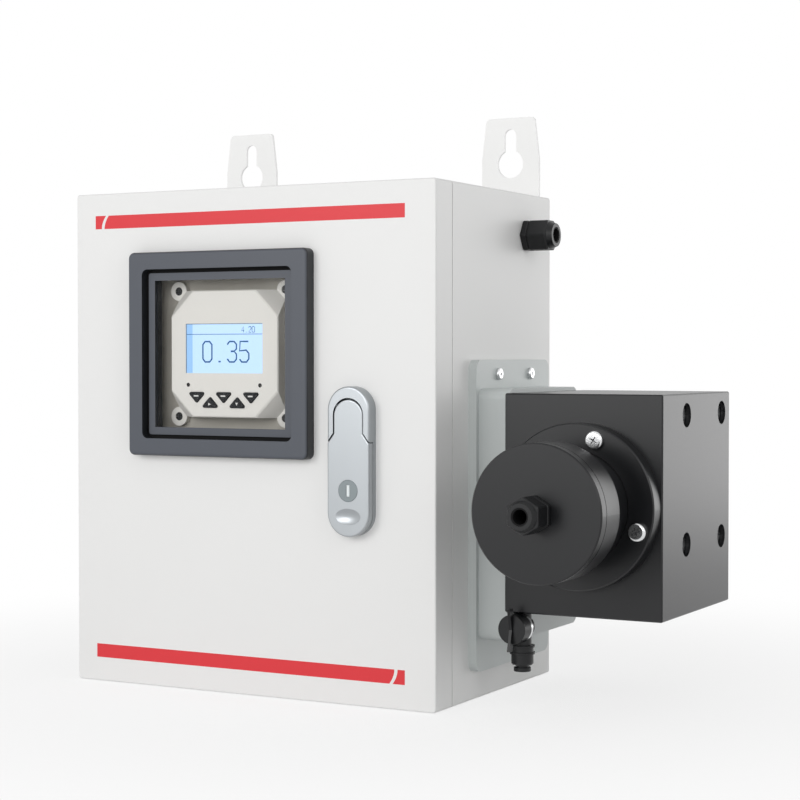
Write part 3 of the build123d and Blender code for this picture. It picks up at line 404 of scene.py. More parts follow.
@dataclass(frozen=True)
class ClearSheet(Finish):
    """Cast acrylic sheet: almost invisible, with a faint dark body and a glossy skin.

    Attributes:
        alpha: share of what lies behind it that the sheet hides.
    """

    alpha: float = 0.05

    def material(self) -> Material:
        """Make the sheet see-through, with its gloss kept.

        Returns:
            The finished material.
        """
        material = super().material()
        shader = find_node(material.node_tree, "BSDF_PRINCIPLED")
        shader.inputs["Alpha"].default_value = self.alpha
        return material


@dataclass(frozen=True)
class BacklitGlass(Finish):
    """Backlit liquid crystal glass: an even glow, duller at its left and shaded under its frame.

    Attributes:
        glow: share of its colour that the backlight gives.
        left_x: left edge of the glass, in metres.
        top_z: top edge of the glass, in metres.
        band_mm: width of the duller band at the left.
        shade_mm: reach of the frame's shadow at the top and the left.
        band_colour: colour of the duller band.
        shade_colour: colour of the shadow.
    """

    glow: float = 0.42
    left_x: float = WINDOW_X - GLASS_HALF_WIDTH * MM
    top_z: float = WINDOW_Z + GLASS_TOP * MM
    band_mm: float = 6.2
    shade_mm: float = 0.9
    band_colour: str = "#8fbbe8"
    shade_colour: str = "#2f4059"

    def material(self) -> Material:
        """Blend the band and the shadow into the lit face and let it glow.

        Returns:
            The finished material.
        """
        material = super().material()
        tree = material.node_tree
        shader = find_node(tree, "BSDF_PRINCIPLED")
        place = add_node(tree, "TexCoord")
        axes = add_node(tree, "SeparateXYZ", links={"Vector": place.outputs["Object"]})
        across, up = axes.outputs["X"], axes.outputs["Z"]
        band = self.left_x + self.band_mm * MM
        shade = self.shade_mm * MM
        past_band = soft_step(tree, across, band - shade / 2, band + shade / 2)
        face = mix_colours(tree, past_band, self.band_colour, self.colour)
        past_edge = soft_step(tree, across, self.left_x, self.left_x + shade)
        face = mix_colours(tree, past_edge, self.shade_colour, face)
        under_frame = soft_step(tree, up, self.top_z - shade, self.top_z)
        face = mix_colours(tree, under_frame, face, self.shade_colour)
        tree.links.new(face, shader.inputs["Base Color"])
        tree.links.new(face, shader.inputs["Emission Color"])
        shader.inputs["Emission Strength"].default_value = self.glow
        return material


@dataclass(frozen=True)
class Finishes:
    """Every finish of the meter, each named for its real material and process."""

    # Polyester powder coat on steel sheet, with a faint orange-peel skin.
    powder: Finish = Finish(
        "powder_coated_steel", "#e9e9e8",
        roughness=0.45, grain=1.6, relief=0.03, mottle=0.006, specular=0.3,
    )
    # Powder-coated hanging tabs: the same skin, a shade paler as painted light.
    tabs: Finish = Finish(
        "powder_coated_tab_steel_lit_paler", "#f4f4f3", roughness=0.5, grain=1.6, relief=0.03, mottle=0.006
    )
    # Galvanised steel: bluish grey with soft patches.
    zinc: Finish = Finish(
        "galvanised_steel", "#b9bcbe",
        roughness=0.4, grain=0.8, relief=0.02, mottle=0.06, metallic=1.0,
    )
    # Sprayed grey enamel of the bracket: even and satin.
    enamel: Finish = Finish(
        "grey_enamelled_steel", "#c4c9c8", roughness=0.42, grain=1.0, relief=0.02, mottle=0.015
    )
    # Sprayed beige-grey enamel of the panel behind the window.
    panel: Finish = Finish(
        "beige_enamelled_steel", "#c2beb4", roughness=0.5, grain=1.0, relief=0.02, mottle=0.015
    )
    # Moulded polycarbonate window frame: slate grey, with a fine spark-eroded grain and a painted
    # shade on its flanks and grooves.
    frame: Finish = PaintedFlankShadeMoulding(
        "moulded_slate_polycarbonate", "#4d5159",
        roughness=0.4, grain=0.35, relief=0.02, mottle=0.02, specular=0.4,
    )
    # Extruded rubber: black and dull.
    rubber: Finish = Finish(
        "extruded_epdm_rubber", "#0c0c0d",
        roughness=0.75, grain=0.5, relief=0.03, mottle=0.05, specular=0.2,
    )
    # Cast acrylic pane: clear, seen only by what it mirrors.
    pane: Finish = ClearSheet(
        "cast_acrylic_sheet", "#22262a",
        roughness=0.05, grain=3.0, relief=0.001, mottle=0.0, alpha=0.05,
    )
    # Moulded ABS controller housing: pale warm grey with a satin grain.
    housing: Finish = Finish(
        "moulded_warm_grey_abs", "#f0eee8", roughness=0.42, grain=0.4, relief=0.02, mottle=0.01
    )
    # Moulded glass-filled polyamide of glands, valve and hidden housings.
    nylon: Finish = Finish(
        "moulded_black_polyamide", "#0e0f11",
        roughness=0.4, grain=0.5, relief=0.03, mottle=0.06, specular=0.35,
    )
    # Blackened steel of the controller's four slotted screws.
    black_screws: Finish = Finish(
        "blackened_steel", "#101112", roughness=0.35, grain=0.5, relief=0.01, mottle=0.06
    )
    # Silicone rubber keys: nearly black, with a soft sheen.
    keys: Finish = Finish(
        "silicone_rubber_keys", "#15171a", roughness=0.5, grain=0.3, relief=0.01, specular=0.3
    )
    # Terminal blocks in grey polyamide.
    terminals: Finish = Finish(
        "moulded_grey_polyamide", "#9a9c9a", roughness=0.5, grain=0.5, relief=0.02, mottle=0.04
    )
    # Backlit display: pale sky blue from within.
    display: Finish = BacklitGlass(
        "backlit_display_glass", "#badafa", roughness=0.3, grain=0.6, relief=0.002, mottle=0.0
    )
    # Mid blue ink of the display's segments.
    segments: Finish = Finish(
        "display_segment_ink", "#2b6fb4", roughness=0.4, grain=0.6, relief=0.001, mottle=0.02
    )
    # Smoked lamp lenses, unlit.
    lamps: Finish = Finish(
        "smoked_lamp_lens", "#1d1a19", roughness=0.15, grain=0.6, relief=0.002, mottle=0.05
    )
    # Satin chrome plated zinc casting of the lock, with a faint vertical grain and broad vertical
    # bands of painted reflection.
    lock: Finish = SatinCast(
        "satin_chrome_zinc_casting", "#a3a7aa",
        roughness=0.34, grain=0.5, relief=0.0012, metallic=1.0,
    )
    # Steel key plug: a darker, tighter grain than the casting round it, with the same bands of
    # painted reflection.
    plug: Finish = SatinCast(
        "turned_steel_plug", "#787f81", roughness=0.38, grain=0.4, relief=0.0012, metallic=1.0
    )
    # Black anodised aluminium of the block, flange and cap: silky, with a broad shine.
    anodised: Finish = Finish(
        "black_anodised_aluminium", "#0b0c0f",
        roughness=0.32, grain=0.6, relief=0.006, mottle=0.05, specular=0.42,
    )
    # Polished stainless steel of the outer screws, the valve's ring and the probe.
    screws: Finish = Finish(
        "polished_stainless_steel", "#d9dadb",
        roughness=0.24, grain=0.8, relief=0.002, metallic=1.0,
    )
    # Screen-printed red ink on the door.
    red_ink: Finish = Finish(
        "screen_printed_red_ink", "#d92a33", roughness=0.45, grain=1.6, relief=0.02, mottle=0.01
    )
    # Stamped nickel silver shutter in the key slot.
    shutter: Finish = Finish(
        "nickel_silver_shutter", "#d3d9da",
        roughness=0.45, grain=0.4, relief=0.004, mottle=0.02, metallic=0.3,
    )
    # White legend ink on the keys.
    white_ink: Finish = Finish(
        "screen_printed_white_ink", "#e9e9e6", roughness=0.5, grain=0.4, relief=0.01, mottle=0.01
    )
    # Shadowed floor of a screw's pressed cross.
    recess: Finish = Finish(
        "pressed_screw_recess", "#2c2d2f", roughness=0.6, grain=0.3, relief=0.01, mottle=0.05
    )


def set_mode(mode: str) -> None:
    """Switch the active object to "EDIT" or "OBJECT" mode."""
    bpy.ops.object.mode_set(mode=mode)


def deselect() -> None:
    """Leave edit mode and deselect every object."""
    if bpy.context.object and bpy.context.object.mode == "EDIT":
        set_mode("OBJECT")
    bpy.ops.object.select_all(action="DESELECT")


def select_only(obj: Object) -> None:
    """Make one object the only selected and the active one."""
    deselect()
    obj.select_set(True)
    bpy.context.view_layer.objects.active = obj


def apply_place(obj: Object) -> None:
    """Put the object's place, turn and size into its mesh."""
    select_only(obj)
    bpy.ops.object.transform_apply(location=True, rotation=True, scale=True)


def settle(obj: Object, name: str, body: Body, material: Material) -> Object:
    """Name, dress and attach a finished piece.

    Args:
        obj: the finished mesh object.
        name: piece name.
        body: body that carries it.
        material: the finish to show.

    Returns:
        The same object.
    """
    apply_place(obj)
    obj.name = name
    obj.data.name = name
    obj.data.materials.clear()
    obj.data.materials.append(material)
    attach(obj, body.value)
    log.info("piece %s rides on %s", name, body.value)
    return obj


def printed_patch(centre: Vector, width: float, height: float, proud: float) -> Object:
    """Add a thin upright film that faces the front, ready to be shaped.

    Args:
        centre: middle of the film's back, in metres.
        width: size along X.
        height: size along Z.
        proud: thickness towards the front.

    Returns:
        The film, with its place in its mesh.
    """
    deselect()
    bpy.ops.mesh.primitive_plane_add(size=1.0, location=centre, rotation=UPRIGHT)
    film = bpy.context.object
    film.scale = (width, height, 1.0)
    apply_place(film)
    set_mode("EDIT")
    bpy.ops.mesh.select_all(action="SELECT")
    bpy.ops.mesh.extrude_region_move(TRANSFORM_OT_translate={"value": (0.0, -proud, 0.0)})
    bpy.ops.mesh.select_all(action="SELECT")
    bpy.ops.mesh.normals_make_consistent(inside=False)
    set_mode("OBJECT")
    return film


@dataclass
class CadDressing:
    """Finishes for the nodes that come from the CAD model.

    Attributes:
        groups: finish field name to the words that a node's name may contain.
    """

    groups: dict[str, tuple[str, ...]] = field(
        default_factory=lambda: {
            "powder": ("cabinet_body", "door_panel", "hinge_leaves"),
            "tabs": ("hanging_tab",),
            "zinc": (
                "hinge_pins", "hanging_tab_screws", "mounting_plate", "plate_studs", "din_rail",
                "panel_standoffs", "lock_spindle", "lock_cam", "lock_pivot_pin",
            ),
            "enamel": ("bracket_plate", "bracket_spacer"),
            "panel": ("instrument_panel",),
            "frame": ("window_bezel", "window_inner_frame", "window_clamp_frame"),
            "rubber": ("door_seal", "window_seal", "gland_seal", "flange_seal"),
            "pane": ("window_pane", "probe_windows"),
            "housing": ("controller_front",),
            "nylon": (
                "gland_body", "gland_nut", "gland_locknut", "valve_body", "valve_knob",
                "release_sleeve", "controller_rear", "power_supply",
            ),
            "black_screws": ("controller_screws",),
            "keys": ("key_exit", "key_up", "key_menu", "key_down", "key_enter"),
            "terminals": ("terminal_blocks",),
            "display": ("display",),
            "lamps": ("indicator_lamps",),
            "lock": ("lock_base", "lock_handle"),
            "plug": ("key_cylinder",),
            "anodised": ("measuring_block", "flange_ring", "sensor_cap"),
            "screws": (
                "bracket_screws", "flange_screws", "block_bolts", "valve_ring", "sensor_probe",
            ),
        }
    )

    def finish_name(self, node: str) -> str:
        """Find the finish whose longest matching word is in a node's name.

        Args:
            node: CAD node name.

        Returns:
            The field name of its finish.
        """
        found = [(len(w), key) for key, words in self.groups.items() for w in words if w in node]
        return max(found)[1]

    def build(self, materials: dict[str, Material]) -> None:
        """Give every CAD node its finish.

        Args:
            materials: finish field name to finished material.
        """
        for node, obj in frame["nodes"].items():
            key = self.finish_name(node)
            for slot in obj.material_slots:
                slot.material = materials[key]
            log.info("node %s is finished in %s", node, materials[key].name)


@dataclass
class DoorStripes:
    """Two printed bars across the door, each with a curved slit near one end.

    Attributes:
        left: left end in millimetres from the centre line.
        right: right end.
        top_low: lower edge of the top bar.
        top_high: upper edge of the top bar.
        bottom_low: lower edge of the bottom bar.
        bottom_high: upper edge of the bottom bar.
        slit: slit width.
        near: length of the short end at its narrow side.
        lean: how far the slit leans over the bar's height.
        film: ink thickness.
        steps: straight steps in the curve of a slit.
        hit: how near to a corner a point must lie to be moved with it.
    """

    left: float = -147.2
    right: float = 140.4
    top_low: float = -58.8
    top_high: float = -48.0
    bottom_low: float = -410.6
    bottom_high: float = -399.5
    slit: float = 2.8
    near: float = 6.2
    lean: float = 4.3
    film: float = 0.08
    steps: int = 8
    hit: float = 0.01

    def bar(
        self, start: float, end: float, low: float, high: float, leans: tuple[int, int]
    ) -> Object:
        """Model one bar whose chosen ends lean along a quarter curve.

        Args:
            start: left end in millimetres, at the bar's lower edge for a leaning end.
            end: right end.
            low: lower edge.
            high: upper edge.
            leans: for the left and right end, 1 if it leans.

        Returns:
            The bar.
        """
        centre = Vector(((start + end) / 2, 0, (low + high) / 2)) * MM
        centre.y = FRONT_Y
        bar = printed_patch(centre, (end - start) * MM, (high - low) * MM, self.film * MM)
        set_mode("EDIT")
        levels = [low + (high - low) * step / self.steps for step in range(self.steps + 1)]
        for level in levels[1:-1]:
            bpy.ops.mesh.select_all(action="SELECT")
            bpy.ops.mesh.bisect(plane_co=(0, 0, level * MM), plane_no=(0, 0, 1))
        for level in levels:
            rise = (level - low) / (high - low)
            share = rise * rise if low == self.top_low else 1 - (1 - rise) ** 2
            for edge, leaning in ((start, leans[0]), (end, leans[1])):
                if leaning and share > 0:
                    self.push(bar, edge, level, self.lean * share)
        set_mode("OBJECT")
        return bar

    def push(self, bar: Object, x: float, z: float, shift: float) -> None:
        """Move the points at one end and height of a bar sideways, in edit mode.

        Args:
            bar: the bar.
            x: end in millimetres.
            z: height.
            shift: distance along X.
        """
        bpy.ops.mesh.select_all(action="DESELECT")
        set_mode("OBJECT")
        for vertex in bar.data.vertices:
            off_x = abs(vertex.co.x / MM - x)
            off_z = abs(vertex.co.z / MM - z)
            vertex.select = off_x < self.hit and off_z < self.hit
        set_mode("EDIT")
        bpy.ops.mesh.select_mode(type="VERT")
        bpy.ops.transform.translate(value=(shift * MM, 0.0, 0.0))

    def build(self, material: Material) -> None:
        """Model both bars and their short ends.

        Args:
            material: the ink.
        """
        cut = self.left + self.near
        far = self.right - self.near - self.lean
        top = (self.top_low, self.top_high)
        bottom = (self.bottom_low, self.bottom_high)
        pieces = {
            "stripe_top_end": self.bar(self.left, cut, *top, (0, 1)),
            "stripe_top": self.bar(cut + self.slit, self.right, *top, (1, 0)),
            "stripe_bottom": self.bar(self.left, far - self.slit, *bottom, (0, 1)),
            "stripe_bottom_end": self.bar(far, self.right, *bottom, (1, 0)),
        }
        for name, piece in pieces.items():
            settle(piece, name, Body.DOOR, material)


# Strokes of each digit as paths, with 1 for its full width and height.
STROKES: dict[str, list[list[tuple[float, float]]]] = {
    "0": [
        [(0, 0.15), (0, 0.85), (0.25, 1), (0.75, 1), (1, 0.85),
         (1, 0.15), (0.75, 0), (0.25, 0), (0, 0.15)],
    ],
    "2": [[(0, 0.8), (0.25, 1), (0.75, 1), (1, 0.85), (1, 0.62), (0, 0), (1, 0)]],
    "3": [
        [(0, 0.85), (0.25, 1), (0.75, 1), (1, 0.86), (1, 0.64), (0.75, 0.52),
         (1, 0.38), (1, 0.14), (0.75, 0), (0.25, 0), (0, 0.15)],
        [(0.38, 0.52), (0.75, 0.52)],
    ],
    "4": [[(0.72, 0), (0.72, 1), (0, 0.3), (1, 0.3)]],
    "5": [
        [(0.95, 1), (0.06, 1), (0, 0.54), (0.7, 0.58), (1, 0.42),
         (1, 0.15), (0.75, 0), (0.22, 0), (0, 0.14)],
    ],
    ".": [[(0.38, 0.02), (0.62, 0.02)]],
}


@dataclass
class DisplayPicture:
    """What the lit display shows: a large reading, a rule and a small reading.

    Attributes:
        depth: depth of the glass behind the door's face, in millimetres.
        reading: the large number.
        reading_left: its left edge.
        reading_base: its base line.
        digit_width: width of a large digit.
        digit_height: height of a large digit.
        digit_pitch: distance from digit to digit.
        stroke: width of a large digit's stroke.
        thinnest: least width of a stroke against a large digit's.
        flatness: thickness of a stroke against its width.
        status: the small number.
        status_scale: size of the small number against the large one.
        status_left: its left edge.
        status_base: its base line.
        rule_z: height of the rule.
        rule_width: length of the rule.
        rule_height: width of its line.
        film: ink thickness of the rule.
    """

    depth: float = 2.1
    reading: str = "0.35"
    reading_left: float = -43.2
    reading_base: float = -167.4
    digit_width: float = 8.6
    digit_height: float = 16.2
    digit_pitch: float = 11.6
    stroke: float = 1.35
    thinnest: float = 0.4
    flatness: float = 0.08
    status: str = "4.20"
    status_scale: float = 0.28
    status_left: float = -6.5
    status_base: float = -144.0
    rule_z: float = -145.4
    rule_width: float = 71.4
    rule_height: float = 0.5
    film: float = 0.04

    def number(self, text: str, left: float, base: float, scale: float) -> Object:
        """Draw a number with straight strokes on the glass.

        Args:
            text: digits and points.
            left: left edge in millimetres.
            base: base line.
            scale: size against the large reading.

        Returns:
            The number as one mesh of thin strokes.
        """
        deselect()
        line = bpy.data.curves.new("digits", "CURVE")
        line.dimensions = "3D"
        line.bevel_depth = self.stroke * max(scale, self.thinnest) / 2 * MM
        line.bevel_resolution = 0
        line.use_fill_caps = True
        for index, digit in enumerate(text):
            for path in STROKES[digit]:
                spline = line.splines.new("POLY")
                spline.points.add(len(path) - 1)
                for point, (across, up) in zip(spline.points, path):
                    x = left + (index * self.digit_pitch + across * self.digit_width) * scale
                    point.co = (x * MM, 0.0, (base + up * self.digit_height * scale) * MM, 1.0)
        number = bpy.data.objects.new("digits", line)
        bpy.context.scene.collection.objects.link(number)
        select_only(number)
        bpy.ops.object.convert(target="MESH")
        number = bpy.context.object
        set_mode("EDIT")
        bpy.ops.mesh.select_all(action="SELECT")
        bpy.ops.transform.resize(value=(1.0, self.flatness, 1.0), center_override=(0.0, 0.0, 0.0))
        bpy.ops.transform.translate(value=(0.0, FRONT_Y + self.depth * MM, 0.0))
        bpy.ops.mesh.normals_make_consistent(inside=False)
        set_mode("OBJECT")
        return number

    def build(self, material: Material) -> None:
        """Make both readings and the rule.

        Args:
            material: ink of the segments.
        """
        main = self.number(self.reading, self.reading_left, self.reading_base, 1.0)
        settle(main, "display_reading", Body.DOOR, material)
        small = self.number(self.status, self.status_left, self.status_base, self.status_scale)
        settle(small, "display_status", Body.DOOR, material)
        centre = Vector((WINDOW_X, FRONT_Y + self.depth * MM, self.rule_z * MM))
        rule = printed_patch(centre, self.rule_width * MM, self.rule_height * MM, self.film * MM)
        settle(rule, "display_rule", Body.DOOR, material)


@dataclass
class ThumbDish:
    """Smooth hollow in the lock handle where the thumb presses.

    Attributes:
        x: centre in millimetres.
        z: centre.
        front: depth of the handle's face behind the door's face, negative as it stands proud.
        width: size along X.
        height: size along Z.
        sink: depth at its middle.
        wall: thickness of the dish.
        facets: points round its rim.
        rings: size of each ring against the rim, from the outside in.
        crease: angle in degrees under which edges are shaded smooth.
    """

    x: float = 97.4
    z: float = -284.55
    front: float = -11.0
    width: float = 21.3
    height: float = 12.1
    sink: float = 1.6
    wall: float = 0.12
    facets: int = 72
    rings: tuple[float, ...] = (0.96, 0.9, 0.82, 0.72, 0.6, 0.46, 0.3, 0.14, 0.04)
    crease: float = 40.0

    def build(self, material: Material) -> None:
        """Sink a disc ring by ring into a round bottom.

        Args:
            material: finish of the handle.
        """
        deselect()
        centre = Vector((self.x * MM, FRONT_Y + (self.front - CLEARANCE) * MM, self.z * MM))
        bpy.ops.mesh.primitive_circle_add(
            vertices=self.facets, radius=0.5, fill_type="NGON", location=centre, rotation=UPRIGHT
        )
        dish = bpy.context.object
        dish.scale = (self.width * MM, self.height * MM, 1.0)
        apply_place(dish)
        set_mode("EDIT")
        bpy.ops.mesh.select_mode(type="FACE")
        bpy.ops.mesh.select_all(action="SELECT")
        reach, deep = 1.0, 0.0
        for ring in self.rings:
            lower = self.sink * (1 - ring * ring)
            bpy.ops.mesh.inset(thickness=0.0, depth=0.0)
            bpy.ops.transform.translate(value=(0.0, (lower - deep) * MM, 0.0))
            share = ring / reach
            bpy.ops.transform.resize(value=(share, 1.0, share), center_override=centre)
            reach, deep = ring, lower
        set_mode("OBJECT")
        shell = dish.modifiers.new("wall", "SOLIDIFY")
        shell.thickness = self.wall * MM
        shell.offset = -1.0
        bpy.ops.object.modifier_apply(modifier=shell.name)
        bpy.ops.object.shade_smooth_by_angle(angle=math.radians(self.crease))
        settle(dish, "handle_thumb_dish", Body.HANDLE, material)


@dataclass
class KeyShutter:
    """Spring shutter that closes the key slot from inside.

    Attributes:
        x: centre in millimetres.
        z: centre.
        width: size along X.
        length: size along Z.
        thickness: size along Y.
        sunk: how far it sits behind the plug's face.
        rounding: how far its edges are rounded.
    """

    x: float = 97.4
    z: float = -264.85
    width: float = 2.7
    length: float = 9.0
    thickness: float = 1.0
    sunk: float = 0.25
    rounding: float = 0.25

    def build(self, material: Material) -> None:
        """Model the shutter with rounded edges.

        Args:
            material: finish of the shutter.
        """
        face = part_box("key_cylinder")[0][1]
        centre = Vector((self.x * MM, face + self.sunk * MM, self.z * MM))
        back = centre + Vector((0, self.thickness * MM, 0))
        plate = printed_patch(back, self.width * MM, self.length * MM, self.thickness * MM)
        set_mode("EDIT")
        bpy.ops.mesh.select_all(action="SELECT")
        bpy.ops.mesh.bevel(offset=self.rounding * MM, segments=2)
        set_mode("OBJECT")
        settle(plate, "key_slot_shutter", Body.CYLINDER, material)


@dataclass
class KeyPrint:
    """Plain white mark on one key.

    Attributes:
        key: CAD node of the key.
        body: body of the key.
        mark: which mark it carries.
        shift_z: mark's place above the key's centre, in millimetres.
        bar: width and height of a bar.
        arrow: width and height of an arrow.
        film: ink thickness.
        tip: width of an arrow's tip against its foot.
    """

    key: str
    body: Body
    mark: KeyMark
    shift_z: float
    bar: tuple[float, float] = (4.4, 1.1)
    arrow: tuple[float, float] = (2.4, 2.2)
    film: float = 0.04
    tip: float = 0.06

    def build(self, material: Material) -> None:
        """Shape the mark on the key's face.

        Args:
            material: white ink.
        """
        low, high = (Vector(c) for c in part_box(self.key))
        centre = (low + high) / 2
        centre.y = low.y
        centre.z += self.shift_z * MM
        width, height = self.bar if self.mark is KeyMark.BAR else self.arrow
        piece = printed_patch(centre, width * MM, height * MM, self.film * MM)
        if self.mark is not KeyMark.BAR:
            self.sharpen(piece, centre)
        settle(piece, self.key + "_mark", self.body, material)

    def sharpen(self, piece: Object, centre: Vector) -> None:
        """Pull the far side of a square mark together into an arrow tip.

        Args:
            piece: the square mark.
            centre: its centre.
        """
        for vertex in piece.data.vertices:
            if self.mark is KeyMark.ARROW_RIGHT and vertex.co.x > centre.x:
                vertex.co.z = centre.z + (vertex.co.z - centre.z) * self.tip
            if self.mark is KeyMark.ARROW_DOWN and vertex.co.z < centre.z:
                vertex.co.x = centre.x + (vertex.co.x - centre.x) * self.tip


@dataclass
class ScrewRecesses:
    """Cross recesses in the pan heads of one group of screws, drawn as thin dark crosses of painted
    shade.

    Attributes:
        node: CAD node that holds the screws.
        faces: unit direction that the heads face.
        places: head centres on the top of the heads, in millimetres.
        reach: length of the cross from tip to tip.
        arm: width of an arm.
        turn: turn of the first cross in degrees.
        spin: further turn from one cross to the next.
        tip: width of an arm's tip against its foot.
        film: thickness of the cross.
    """

    node: str
    faces: Vector
    places: list[Place]
    reach: float
    arm: float
    turn: float = 20.0
    spin: float = 37.0
    tip: float = 0.7
    film: float = 0.05

    def cross(self) -> Object:
        """Model one thin cross with four arms in the XY plane, facing up.

        Returns:
            The cross.
        """
        deselect()
        bpy.ops.mesh.primitive_plane_add(size=self.arm * MM)
        cross = bpy.context.object
        length = (self.reach - self.arm) / 2 * MM
        side = self.arm / 2 * MM
        for step in range(4):
            set_mode("OBJECT")
            way = Matrix.Rotation(math.radians(90 * step), 3, "Z") @ Vector((1, 0, 0))
            for edge in cross.data.edges:
                ends = [cross.data.vertices[i].co for i in edge.vertices]
                edge.select = all(abs(end.dot(way) - side) < SAME for end in ends)
            for vertex in cross.data.vertices:
                vertex.select = abs(vertex.co.dot(way) - side) < SAME
            for polygon in cross.data.polygons:
                polygon.select = False
            set_mode("EDIT")
            bpy.ops.mesh.select_mode(type="EDGE")
            bpy.ops.mesh.extrude_region_move(
                TRANSFORM_OT_translate={"value": tuple(way * length)}
            )
            bpy.ops.transform.resize(
                value=(self.tip if way.y else 1.0, self.tip if way.x else 1.0, 1.0)
            )
        bpy.ops.mesh.select_all(action="SELECT")
        bpy.ops.mesh.extrude_region_move(
            TRANSFORM_OT_translate={"value": (0.0, 0.0, self.film * MM)}
        )
        bpy.ops.mesh.select_all(action="SELECT")
        bpy.ops.mesh.normals_make_consistent(inside=False)
        set_mode("OBJECT")
        return cross

    def build(self, material: Material) -> None:
        """Copy the cross to every head.

        Args:
            material: painted shade of the recess.
        """
        first = self.cross()
        turn = Matrix.Rotation(math.radians(self.turn), 4, "Z")
        face = self.faces.to_track_quat("Z", "Y").to_matrix().to_4x4()
        for index, place in enumerate(self.places):
            copy = first if index == len(self.places) - 1 else first.copy()
            if copy is not first:
                copy.data = first.data.copy()
                bpy.context.scene.collection.objects.link(copy)
            spin = Matrix.Rotation(math.radians(self.spin * index), 4, "Z")
            copy.matrix_world = Matrix.Translation(Vector(place) * MM) @ face @ turn @ spin
            settle(copy, f"{self.node}_recess_{index + 1}", Body.CABINET, material)


@dataclass(frozen=True)
class Lamp:
    """Soft square lamp.

    Attributes:
        name: lamp name.
        place: position in metres.
        size: side length.
        power: power in watts.
    """

    name: str
    place: Place
    size: float
    power: float

    def hang(self, aim: Place) -> None:
        """Add the lamp to the scene.

        Args:
            aim: point it faces.
        """
        data = bpy.data.lights.new(self.name, "AREA")
        data.size = self.size
        data.energy = self.power
        lamp = bpy.data.objects.new(self.name, data)
        bpy.context.scene.collection.objects.link(lamp)
        lamp.location = self.place
        way = Vector(aim) - Vector(self.place)
        lamp.rotation_euler = way.to_track_quat("-Z", "Y").to_euler()


